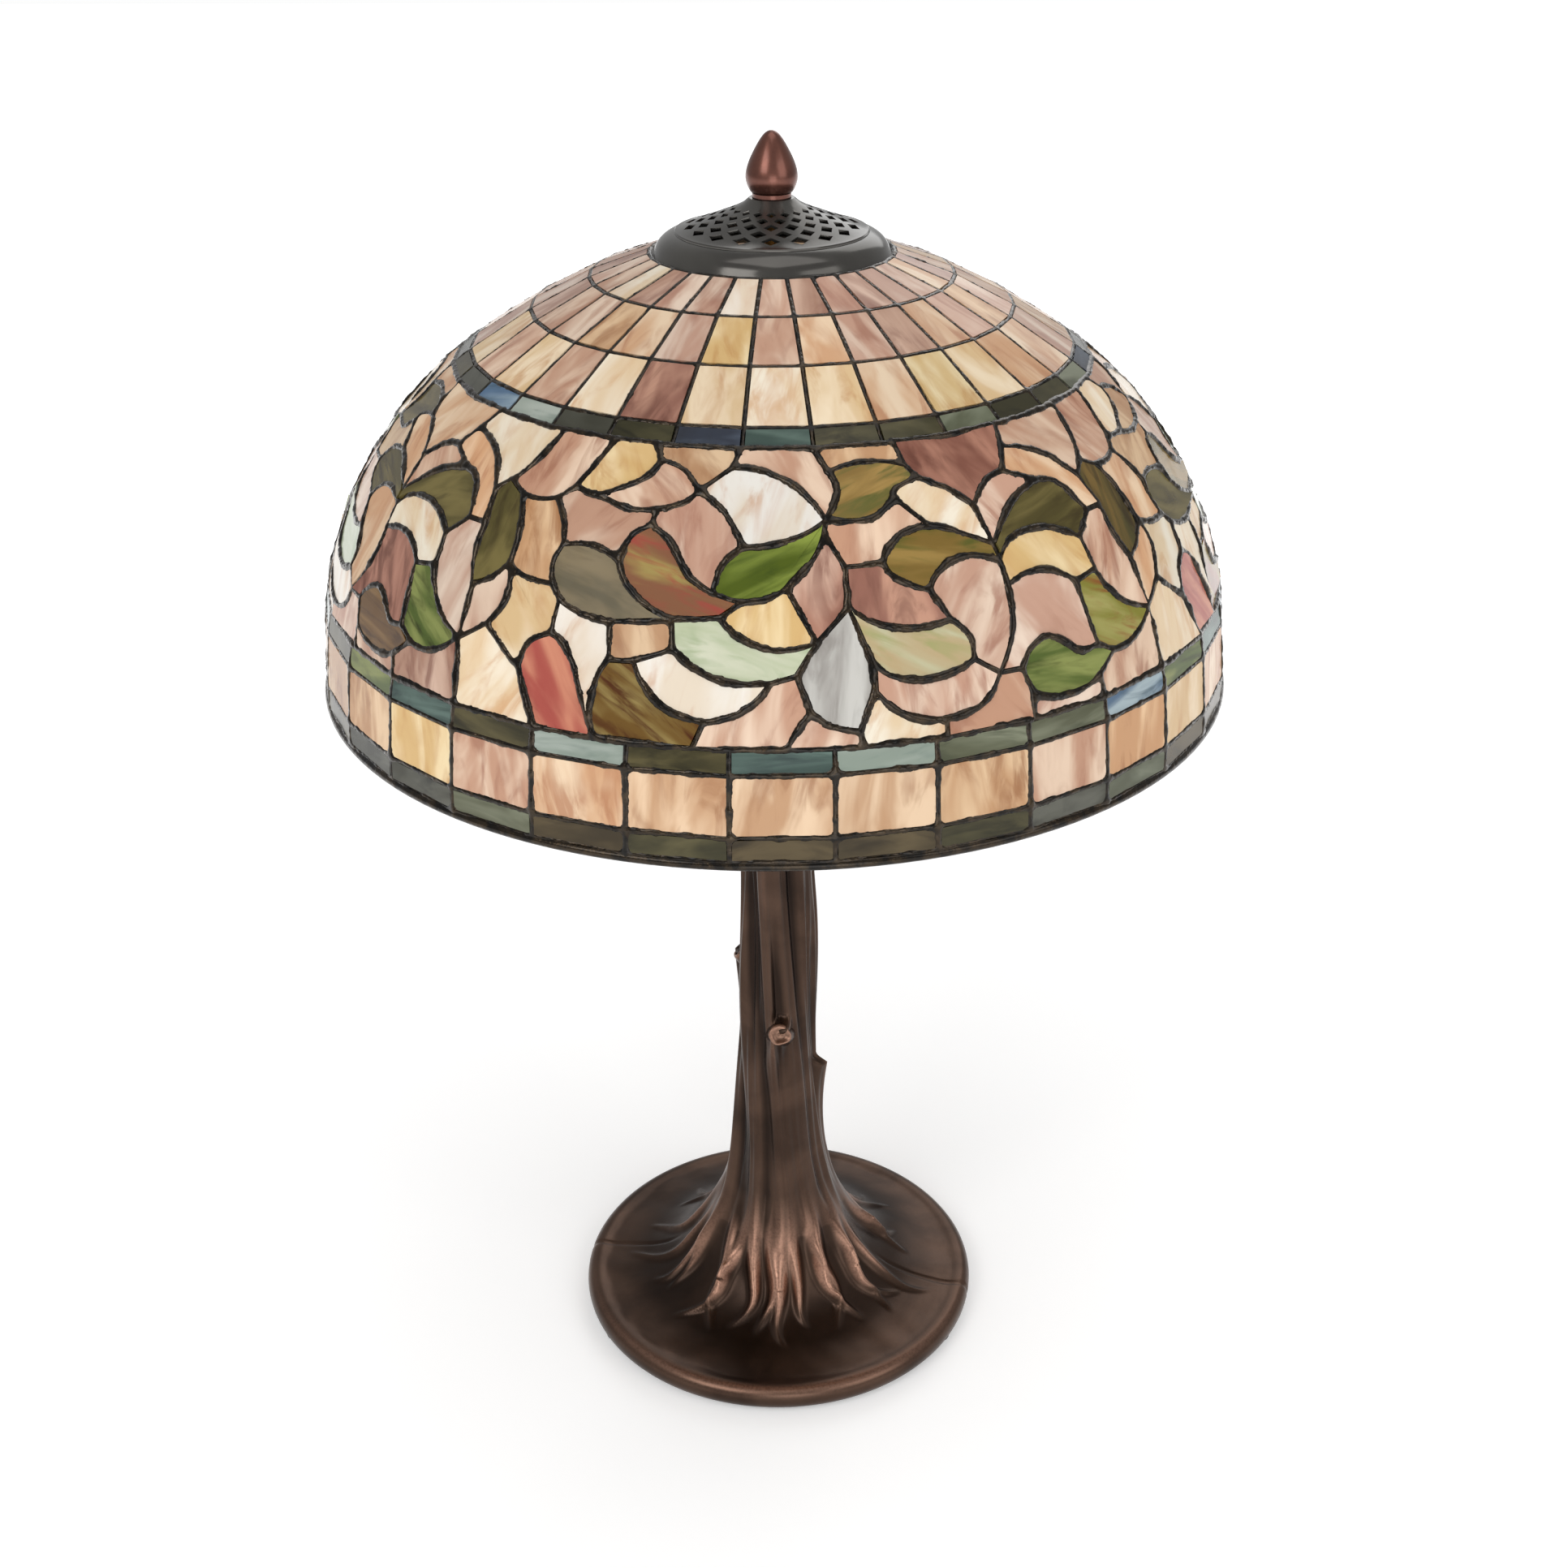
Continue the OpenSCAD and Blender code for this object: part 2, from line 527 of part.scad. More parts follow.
module support_nut() {
  color("Goldenrod")
    translate([0, 0, flange_z - 8 - 4])
      difference() {
        hex(11, 4);
        translate([0, 0, -1])
          cylinder(d = rod_diameter, h = 6, $fn = 48);
      }
}

// Two-light cluster on the trunk
arm_reach = 24;
module cluster_body() {
  color("DarkGoldenrod")
    difference() {
      union() {
        turned([
          [0, cluster_z - 20], [9, cluster_z - 20], [9, cluster_z - 16], [12, cluster_z - 13],
          [14, cluster_z - 8], [14, cluster_z + 6], [12, cluster_z + 10], [8, cluster_z + 12],
          [8, cluster_z + 16], [0, cluster_z + 16]
        ], 64);
        for (s = [-1, 1])
          translate([0, 0, cluster_z])
            rotate([0, s * (90 - holder_tilt), 0])
              cylinder(d = 10, h = arm_reach + 5, $fn = 48);
      }
      translate([0, 0, cluster_z - 30])
        cylinder(d = tube_diameter, h = 30, $fn = 48);
      translate([0, 0, cluster_z + 6])
        cylinder(d = rod_diameter, h = 30, $fn = 48);
    }
}
module cluster_nut() {
  color("DarkGoldenrod")
    translate([0, 0, cluster_z + 16])
      difference() {
        hex(11, 3.5);
        translate([0, 0, -1])
          cylinder(d = rod_diameter, h = 6, $fn = 48);
      }
}

// Lamp holders: side -1 is left, 1 is right; local +Z runs out along the holder
module holder(side) {
  translate([0, 0, cluster_z])
    rotate([0, side * (90 - holder_tilt), 0])
      translate([0, 0, arm_reach])
        children();
}
shell_radius = bulb_screw / 2 + 4;
module socket_cap(side) {
  color("Goldenrod")
    holder(side)
      difference() {
        turned([
          [0, 0], [8, 0], [11, 1.5], [14, 5], [shell_radius, 10], [shell_radius, 14],
          [shell_radius - 1.2, 14], [shell_radius - 1.2, 10.6], [13, 6.4], [9, 3], [0, 3]
        ], 64);
        translate([0, 0, -1])
          cylinder(d = 10, h = 8, $fn = 48);
      }
}
module socket_shell(side) {
  color("Goldenrod")
    holder(side)
      turned([
        [shell_radius - 1, 14], [shell_radius, 14], [shell_radius, 44], [shell_radius + 0.6, 45],
        [shell_radius, 46], [shell_radius - 1, 46]
      ], 64);
}
module socket_core(side) {
  color("Black")
    holder(side)
      turned([[0, 14], [shell_radius - 1.2, 14], [shell_radius - 1.2, 19], [4, 19], [4, 21], [0, 21]], 64);
}
screw_bore = bulb_screw / 2 + running_clearance;
module screw_shell(side) {
  color("Khaki")
    holder(side)
      turned([[screw_bore, 19], [screw_bore + 0.8, 19], [screw_bore + 0.8, 43], [screw_bore, 43]], 64);
}
module bulb_base(side) {
  r = bulb_screw / 2;
  color("Silver")
    holder(side)
      turned([[0, 21], [4, 21], [5, 22.5], [r - 1.5, 24], [r, 26], [r, 45], [r - 1, 47], [0, 47]], 64);
}
module bulb_glass(side) {
  r = bulb_screw / 2 - 1;
  b = bulb_diameter / 2;
  color("White", 0.6)
    holder(side)
      turned(concat(
        [[0, 47], [r, 47], [r + 1, 52], [b * 0.72, 60]],
        [for (t = [-30:15:90]) [b * cos(t), 60 + b * 0.62 + b * sin(t)]]
      ), 64);
}

// Pull chain, hanging straight through a guide under each holder
chain_x = cos(holder_tilt) * (arm_reach + 31);
chain_z = cluster_z + sin(holder_tilt) * (arm_reach + 31);
bead_radius = 1.6;
bead_step = 3.5;
guide_top = chain_z - shell_radius / cos(holder_tilt) + 2;
guide_length = 20;
module chain_guide(side) {
  color("Goldenrod")
    difference() {
      translate([side * chain_x, 0, guide_top - guide_length])
        union() {
          cylinder(r = 3.2, h = guide_length, $fn = 48);
          cylinder(r = 4.2, h = 2, $fn = 48);
        }
      translate([side * chain_x, 0, guide_top - guide_length - 1])
        cylinder(r = bead_radius + 0.3, h = guide_length + 2, $fn = 48);
      holder(side)
        cylinder(r = shell_radius + 0.02, h = 50, $fn = 64);
    }
}
chain_top = guide_top - 3.4;
module pull_chain(side) {
  low = chain_top - chain_beads * bead_step;
  color("Khaki")
    translate([side * chain_x, 0, 0])
      turned(concat(
        [[0, low - 14], [2.4, low - 13.4], [4, low - 10.5], [3.6, low - 6], [1.7, low - 1.5]],
        [for (i = [chain_beads - 1:-1:0]) each [
          for (t = [-75:25:75])
            [bead_radius * cos(t), chain_top - (i + 0.5) * bead_step + bead_radius * sin(t)]
        ]],
        [[0, chain_top]]
      ), 24);
}

module socket_cap_left() { socket_cap(-1); }
module socket_cap_right() { socket_cap(1); }
module socket_shell_left() { socket_shell(-1); }
module socket_shell_right() { socket_shell(1); }
module socket_core_left() { socket_core(-1); }
module socket_core_right() { socket_core(1); }
module screw_shell_left() { screw_shell(-1); }
module screw_shell_right() { screw_shell(1); }
module bulb_base_left() { bulb_base(-1); }
module bulb_base_right() { bulb_base(1); }
module bulb_glass_left() { bulb_glass(-1); }
module bulb_glass_right() { bulb_glass(1); }
module chain_guide_left() { chain_guide(-1); }
module chain_guide_right() { chain_guide(1); }
module pull_chain_left() { pull_chain(-1); }
module pull_chain_right() { pull_chain(1); }

// Stand: foot heights first, then the trunk's outline up to the cup
pad_height = 2.4;
plate_thickness = 2;
base_r = base_diameter / 2;
trunk_r = trunk_diameter / 2;
trunk_top = cluster_z - 30;
cup_height = 10;
// Share of the way up the trunk above the flare
function up(t) = 95 + (trunk_top - 95) * t;
stand_profile = [
  [base_r - 2.2, pad_height], [base_r - 0.4, 4.6], [base_r, 8], [base_r - 0.8, 11.4],
  [base_r - 3.4, 13.6], [base_r - 6.4, 13.4], [base_r - 9, 12.2], [base_r - 18, 13.4],
  [base_r * 0.68, 16], [base_r * 0.57, 20.5], [base_r * 0.47, 28], [44, 34.5], [37.5, 46], [31.5, 60],
  [27, 77], [23.6, up(0)], [21.8, up(0.22)], [20.6, up(0.4)], [19, up(0.62)], [trunk_r, up(0.8)],
  [trunk_r - 0.6, up(0.92)], [trunk_r - 0.6, up(1)]
];
// Bark and root height along the outline, nothing on the rim
stand_relief = [0, 0, 0, 0, 0, 0, 0, 0.1, 1.2, 2.6, 3.4, 3.2, 2.8, 2.3, 1.9, 1.5, 1.3, 1.2, 1.1, 1, 0.8, 0];
stand_sides = bark_lobes * 4;
function stand_point(j, i) =
  let (
    p = stand_profile[j],
    a = i * 360 / stand_sides,
    bump = cos(bark_lobes * a + p[1] * 0.9) + 0.35 * cos((bark_lobes - 4) * a - p[1] * 0.7 + 40),
    r = p[0] + bark_depth / 1.3 * stand_relief[j] * bump
  )
  tidy(around(a, r, p[1]));
module stand_solid() {
  rows = len(stand_profile);
  n = stand_sides;
  polyhedron(
    points = [for (j = [0:rows - 1]) for (i = [0:n - 1]) stand_point(j, i)],
    faces = concat(
      [[for (i = [0:n - 1]) i]],
      [[for (i = [n - 1:-1:0]) (rows - 1) * n + i]],
      [
        for (j = [0:rows - 2])
          for (i = [0:n - 1])
            let (a = j * n + i, b = j * n + (i + 1) % n, c = a + n, d = b + n)
            each [[a, c, b], [b, c, d]]
      ]
    )
  );
}
// Cut branch stubs: turn round the trunk, height, reach, radius, upward tilt
stubs = [[-100, 0.62, 21, 3.2, 20], [12, 0.42, 25, 4.6, 40], [88, 0.34, 29, 4.2, 35]];
module base_casting() {
  wall = casting_wall;
  bore = tube_diameter / 2 + loose_clearance;
  color("SaddleBrown")
    difference() {
      union() {
        stand_solid();
        for (s = stubs)
          translate([0, 0, up(s[1])])
            rotate([0, 0, s[0]])
              rotate([90 - s[4], 0, 0])
                cylinder(r1 = s[3] * 1.25, r2 = s[3], h = s[2] / cos(s[4]), $fn = 24);
      }
      turned([
        [0, -1], [base_r - wall, -1], [base_r - wall, pad_height + plate_thickness],
        [base_r - wall - 3, pad_height + plate_thickness], [base_r - wall - 5, 7.5],
        [base_r * 0.66, 9], [base_r * 0.52, 14], [36, 26], [24, 46], [16, 77],
        [12, up(0)], [11, up(0.7)], [bore, up(0.76)], [bore, trunk_top + 1], [0, trunk_top + 1]
      ]);
      translate([0, base_r - 12, 7.6])
        rotate([-90, 0, 0])
          cylinder(r = 4.6, h = 30, $fn = 48);
    }
}
module cord_bushing() {
  color("Black")
    translate([0, 0, 7.6])
      rotate([-90, 0, 0])
        difference() {
          union() {
            translate([0, 0, base_r - 4])
              cylinder(r = 4.55, h = 4, $fn = 48);
            translate([0, 0, base_r])
              cylinder(r = 5, h = 0.9, $fn = 48);
          }
          cylinder(r = 3, h = base_r + 10, $fn = 48);
        }
}
// Turn and radius of the pads and the cover screws
pad_turns = [-62, 62, 118, -118];
pad_ring = base_r - 9;
module foot_pads() {
  color("DimGray")
    for (a = pad_turns)
      translate(around(a, pad_ring, 0))
        cylinder(r = 7, h = pad_height, $fn = 48);
}
screw_turns = [0, 120, 240];
screw_ring = base_r - 30;
module base_plate() {
  color("DarkSlateGray")
    difference() {
      translate([0, 0, pad_height])
        cylinder(r = base_r - casting_wall - 0.2, h = plate_thickness, $fn = 128);
      translate([0, 0, -1])
        cylinder(d = tube_diameter + loose_clearance, h = 10, $fn = 48);
      for (a = screw_turns)
        translate(around(a, screw_ring, -1))
          cylinder(r = 2.2, h = 10, $fn = 32);
    }
}
module plate_screws() {
  color("Silver")
    for (a = screw_turns)
      translate(around(a, screw_ring, pad_height - 1.4))
        union() {
          cylinder(r = 3.8, h = 1.4, $fn = 32);
          cylinder(r = 2, h = 5.4, $fn = 32);
        }
}
module threaded_tube() {
  color("Goldenrod")
    difference() {
      translate([0, 0, 1])
        cylinder(d = tube_diameter, h = cluster_z - 1, $fn = 48);
      cylinder(d = tube_diameter - 3, h = cluster_z + 10, $fn = 48);
    }
}
nut_z = pad_height + plate_thickness;
module base_washer() {
  color("Silver")
    translate([0, 0, nut_z])
      difference() {
        cylinder(r = 11, h = 1.2, $fn = 48);
        translate([0, 0, -1])
          cylinder(d = tube_diameter + loose_clearance, h = 4, $fn = 48);
      }
}
module base_nut() {
  color("Silver")
    translate([0, 0, nut_z + 1.2])
      difference() {
        hex(16, 4);
        translate([0, 0, -1])
          cylinder(d = tube_diameter, h = 6, $fn = 48);
      }
}
module trunk_cup() {
  bore = tube_diameter / 2 + loose_clearance / 2;
  color("SaddleBrown")
    turned([
      [bore, trunk_top], [trunk_r - 2, trunk_top], [trunk_r + 1.5, trunk_top + 2.5],
      [trunk_r + 2, trunk_top + 5], [trunk_r - 4, trunk_top + 7], [11, trunk_top + 8.4],
      [9.5, trunk_top + cup_height], [bore, trunk_top + cup_height]
    ], 64);
}

base_casting();
base_plate();
plate_screws();
foot_pads();
cord_bushing();
threaded_tube();
base_washer();
base_nut();
trunk_cup();
cluster_body();
cluster_nut();
socket_cap_left();
socket_cap_right();
socket_shell_left();
socket_shell_right();
socket_core_left();
socket_core_right();
screw_shell_left();
screw_shell_right();
chain_guide_left();
chain_guide_right();
pull_chain_left();
pull_chain_right();
bulb_base_left();
bulb_base_right();
bulb_glass_left();
bulb_glass_right();
shade_rod();
support_nut();
shade_support();
shade_collar();
pierced_cap();
finial_washer();
finial();
glass_row_top();
glass_row_middle();
glass_row_lower();
glass_upper_border();
glass_background_high();
glass_background_low();
glass_olive_leaves();
glass_green_leaves();
glass_amber_leaves();
glass_pale_leaves();
glass_rose_petals();
glass_lower_border();
glass_skirt_row();
glass_bottom_border();
seams_upper();
seams_leaf_band();
seams_lower();
rim_wire();
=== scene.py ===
import bpy
import bmesh
import json
import math
import random
from mathutils import Matrix, Vector, noise


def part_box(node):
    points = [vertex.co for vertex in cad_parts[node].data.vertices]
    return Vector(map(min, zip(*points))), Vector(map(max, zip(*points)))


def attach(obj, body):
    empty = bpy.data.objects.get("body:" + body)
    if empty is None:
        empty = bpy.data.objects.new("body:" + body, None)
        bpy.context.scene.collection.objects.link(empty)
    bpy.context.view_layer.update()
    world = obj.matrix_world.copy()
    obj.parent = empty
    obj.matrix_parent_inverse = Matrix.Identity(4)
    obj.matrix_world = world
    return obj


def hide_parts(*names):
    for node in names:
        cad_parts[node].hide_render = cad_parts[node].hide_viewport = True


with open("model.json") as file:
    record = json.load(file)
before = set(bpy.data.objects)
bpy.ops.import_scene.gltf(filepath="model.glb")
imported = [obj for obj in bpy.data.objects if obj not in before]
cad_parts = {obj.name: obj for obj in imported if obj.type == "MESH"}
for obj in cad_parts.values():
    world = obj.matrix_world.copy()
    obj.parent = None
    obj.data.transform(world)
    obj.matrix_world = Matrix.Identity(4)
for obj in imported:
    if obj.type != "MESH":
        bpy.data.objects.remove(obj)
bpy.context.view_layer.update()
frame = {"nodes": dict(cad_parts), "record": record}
nodes = frame["nodes"]
record = frame["record"]
dice = random.Random(11)
mm = 0.001

tintNames = ("bodyTint", "wispTint", "veinTint")

# what a user would change on the shade
shade = {
    "panels": 32,
    "phase": -4.0,          # degrees from the front to the nearest seam
    "rimHeight": 368.0,
    # radius, height over the rim
    "rings": [[51.5, 181], [76.5, 172], [101.5, 159.5], [127.5, 143.5], [135, 138],
              [196, 44], [198, 34.5], [200.5, 10], [200.9, 0]],
    "bandRing": 4,          # ring at the top of the leaf band
    "bandRepeats": 4,
    "bandDepth": 112.0,
    "bandTurn": 20.0,       # half the angle of the band's bulge
    "easeDepth": 7.0,       # depth over which the bulge turns into flat panels
}

# corner points of the leaf band: degrees round the shade, depth down the band
bandCorners = [
  [-50.5, 0], [-34.7, 0], [-24.8, 0], [-17.8, 0], [-4, 0], [7.25, 0], [20, 0],
  [-52, 10], [-54, 19.5], [-49.3, 26],
  [29, 30], [29.7, 46], [30, 52], [30.3, 61.5], [26.8, 92],
  [-41, 30], [-40.2, 43.5], [-43, 43.5], [-39, 24.5], [-36, 29], [-30, 27.5], [-28, 22.5],
  [-23.8, 24], [-15, 27], [-9.6, 18.5], [-16.2, 6.8], [-5.2, 8.2], [7.8, 30], [9, 10.5],
  [20.7, 10.5], [22, 16], [17.7, 23], [21.5, 35], [14.6, 47], [9.7, 47.5], [7.4, 35],
  [2.4, 54.5], [-3, 39.3], [-6.5, 56.5], [-3, 59.8], [-5.3, 65], [5.7, 74], [9.6, 62],
  [3.3, 85.5], [21.7, 70], [12, 83], [23.8, 85.3], [19.8, 58.8],
  [-15.3, 33], [-18.6, 47], [-26.8, 44.5], [-26.8, 59.5], [-25.4, 64.5], [-18.4, 69.5],
  [-11, 66.8], [-33.7, 55.5], [-38.5, 66.5], [-38.4, 87], [-34.7, 79], [-29.3, 91.5],
  [-25.7, 77], [-19.9, 104], [-18, 83], [-15, 82.5], [-10.6, 77], [0.4, 88],
  [-6.8, 102.5], [4.7, 98.5], [10, 106], [12, 92.5], [19.8, 105.5],
  [-46.3, 52], [-46, 64.8], [-49.7, 67.2], [-49, 91.5], [-46.6, 96], [-60.3, 92.2],
  [-59.2, 102], [-49.3, 103],
  [-59.2, 112], [-49, 112], [-37.75, 112], [-26.5, 112], [-19.2, 112], [-8, 112],
  [2, 112], [10.4, 112], [19.8, 112]
]

# seams of the leaf band: corner, corner, bends between them. A corner with 100 more is the
# one in the repeat before, with 200 more the one in the repeat after
bandSeams = [
  [0, 1, [-49, 0], [-37.75, 0]], [1, 2, [-26.5, 0]], [2, 3], [3, 4, [-15.25, 0]],
  [4, 5], [5, 6, [18.5, 0]], [6, 200, [29.75, 0]],
  [79, 80], [80, 81], [81, 82], [82, 83], [83, 84, [-15.25, 112]],
  [84, 85, [-4, 112]], [85, 86, [7.25, 112]], [86, 87, [18.5, 112]],
  [87, 279, [29.75, 112]],
  [0, 7], [7, 8], [7, 15, [-47.8, 12.8], [-44, 19]], [15, 16],
  [1, 18, [-37, 17]], [18, 15], [18, 19], [19, 20, [-33, 29.5]],
  [20, 21], [2, 21], [21, 22], [22, 23, [-19, 27.3]],
  [23, 24, [-11.7, 23.6]], [3, 25], [25, 22, [-17.9, 14.5]],
  [25, 24, [-12.3, 10.2]], [4, 26], [26, 24],
  [26, 27, [-1, 9], [3.7, 15], [6.4, 23]], [5, 28],
  [28, 29, [12.8, 7.4], [17.2, 7.6]], [6, 29], [29, 30],
  [28, 27, [9.8, 18]], [27, 31, [10.7, 30.3], [13.9, 30.2], [16, 27]],
  [31, 30, [18.6, 19]], [31, 32], [32, 11, [24.5, 37.6]],
  [33, 32, [15.6, 41.5], [18, 36.3]], [33, 47, [15.8, 52.8]],
  [47, 12, [21, 53.7], [23.3, 49.6], [26.5, 48.6]], [34, 33], [27, 35],
  [35, 34], [35, 36, [5.8, 44]], [27, 37, [5, 34.5], [1.4, 37.8]],
  [24, 37, [-5.8, 26]], [37, 38, [-5.4, 45.5]], [38, 39], [39, 36, [0, 58]],
  [39, 40], [36, 41], [40, 41, [-3.8, 70], [-0.8, 75], [2.6, 76.4]],
  [42, 41], [34, 42], [41, 43], [42, 45],
  [42, 44, [12.6, 68.4], [17, 71.2]], [44, 46, [23.7, 77]],
  [45, 46, [14.3, 88], [18.2, 90], [21.6, 88.4]], [47, 44], [12, 13],
  [13, 14, [29.6, 77]], [46, 14], [10, 30, [26, 22]], [10, 11], [11, 12],
  [8, 110, [-57.4, 21.3]], [8, 9], [9, 111, [-54.8, 31.5]],
  [9, 17, [-45.6, 29.5]], [16, 17], [17, 71],
  [112, 71, [-58, 46.2], [-54.5, 43.5], [-50.3, 45.3]], [71, 72],
  [113, 73, [-57.3, 59.2], [-54.2, 59], [-51.5, 62.3]], [73, 72],
  [72, 57, [-44.8, 72.5], [-42.2, 81]], [73, 74], [74, 75],
  [76, 74, [-58.6, 86], [-56, 83.3], [-53.5, 87.3], [-51.6, 92]], [76, 77],
  [77, 78, [-57, 105.4], [-53.8, 106.6], [-51, 105.4]], [78, 75], [114, 76],
  [57, 75, [-40.7, 92.4], [-43.5, 96.2]], [16, 56, [-39.9, 55]],
  [19, 55, [-34.2, 41]], [55, 56, [-35.8, 62]], [55, 58, [-32.8, 67]],
  [56, 57], [58, 57], [57, 81], [20, 50, [-28, 35]],
  [50, 49, [-24, 43], [-21, 44]], [50, 51, [-27.5, 52]], [55, 51, [-31, 58.8]],
  [51, 52], [52, 53, [-22.3, 68.2]], [53, 54],
  [49, 54, [-17.4, 54.5], [-14.6, 62]], [23, 48], [48, 49, [-17.7, 38]],
  [48, 38, [-12.3, 39], [-9.8, 49.3]], [54, 40], [54, 64], [53, 62],
  [62, 63], [63, 64], [64, 65, [-7.8, 83.7], [-3.8, 88.2]], [65, 43],
  [65, 66, [-1.2, 94.3], [-3.7, 99.8]], [63, 66, [-13.8, 90], [-11.3, 98]],
  [66, 84], [52, 60], [60, 61, [-23, 83]],
  [62, 61, [-19.3, 91]], [61, 83], [58, 59], [59, 60, [-28.3, 82]],
  [59, 82], [43, 67], [67, 85], [67, 68, [7, 103.6]], [45, 69],
  [69, 68], [69, 70, [14, 99.3], [16.7, 104]], [14, 70, [25.2, 99.6], [22.8, 103.9]],
  [70, 87], [68, 86], [77, 79], [78, 80]
]

# glass of one repeat: family, colour in front, colour in the other repeats, corners in order;
# high and low are the two parts of the background
bandGlass = [
    ["high cream salmon", 0, 1, 18, 15, 7],
    ["high salmon salmon", 1, 2, 21, 20, 19, 18],
    ["high honey cream", 2, 3, 25, 22, 21],
    ["high salmon tan", 25, 24, 23, 22],
    ["high tan salmon", 3, 4, 26, 24, 25],
    ["high salmon peach", 4, 5, 28, 27, 26],
    ["high tan peach", 5, 6, 29, 28],
    ["amber_leaves amberOlive olive", 28, 29, 30, 31, 27],
    ["high rosewood peach", 6, 200, 207, 208, 10, 30, 29],
    ["high peach peach", 7, 15, 16, 17, 9, 8],
    ["high salmon pink", 8, 9, 111, 110],
    ["olive_leaves olive olive", 9, 17, 71, 112, 111],
    ["low cream honey", 112, 71, 72, 73, 113],
    ["low rosewood pink", 113, 73, 74, 76, 114],
    ["green_leaves leafGreen fernRed", 73, 72, 57, 75, 74],
    ["low pink salmon", 17, 16, 56, 57, 72, 71],
    ["olive_leaves olive oliveDeep", 15, 18, 19, 55, 56, 16],
    ["low pink peach", 56, 55, 58, 57],
    ["amber_leaves bark leafGreen", 76, 74, 75, 78, 77],
    ["low salmon pink", 77, 78, 80, 79],
    ["low mauve salmon", 75, 57, 81, 80, 78],
    ["low cream cream", 57, 58, 59, 82, 81],
    ["high tan peach", 19, 20, 50, 51, 55],
    ["high salmon tan", 21, 22, 23, 48, 49, 50, 20],
    ["low honeyPale cream", 55, 51, 52, 60, 59, 58],
    ["low white cream", 52, 53, 62, 61, 60],
    ["olive_leaves greyOlive olive", 50, 49, 54, 53, 52, 51],
    ["low tan honeyPale", 53, 54, 64, 63, 62],
    ["high pink salmon", 23, 24, 37, 38, 48],
    ["amber_leaves amberRed amberOlive", 48, 38, 39, 40, 54, 49],
    ["high white cream", 26, 27, 37, 24],
    ["green_leaves brightGreen leafGreen", 27, 35, 36, 39, 38, 37],
    ["high rosewoodPale salmon", 35, 34, 42, 41, 36],
    ["low honey cream", 39, 36, 41, 40],
    ["pale_leaves mint mint", 40, 41, 43, 65, 64, 54],
    ["pale_leaves silver silver", 41, 42, 45, 69, 68, 67, 43],
    ["low white pink", 63, 64, 65, 66],
    ["low salmon peach", 65, 43, 67, 85, 84, 66],
    ["low salmon pink", 67, 68, 86, 85],
    ["low cream white", 69, 70, 87, 86, 68],
    ["rose_petals rose rose", 59, 60, 61, 83, 82],
    ["amber_leaves stripedAmber amberRed", 62, 63, 66, 84, 83, 61],
    ["high cream peach", 30, 10, 11, 32, 31],
    ["high salmon tan", 27, 31, 32, 33, 34, 35],
    ["amber_leaves amberOlive olive", 32, 11, 12, 47, 33],
    ["low mauveDeep salmon", 34, 33, 47, 44, 42],
    ["pale_leaves yellowGreen mint", 42, 44, 46, 45],
    ["low pink white", 45, 46, 14, 70, 69],
    ["low pink peach", 47, 12, 13, 14, 46, 44],
    ["low salmon pink", 14, 276, 277, 279, 87, 70],
]

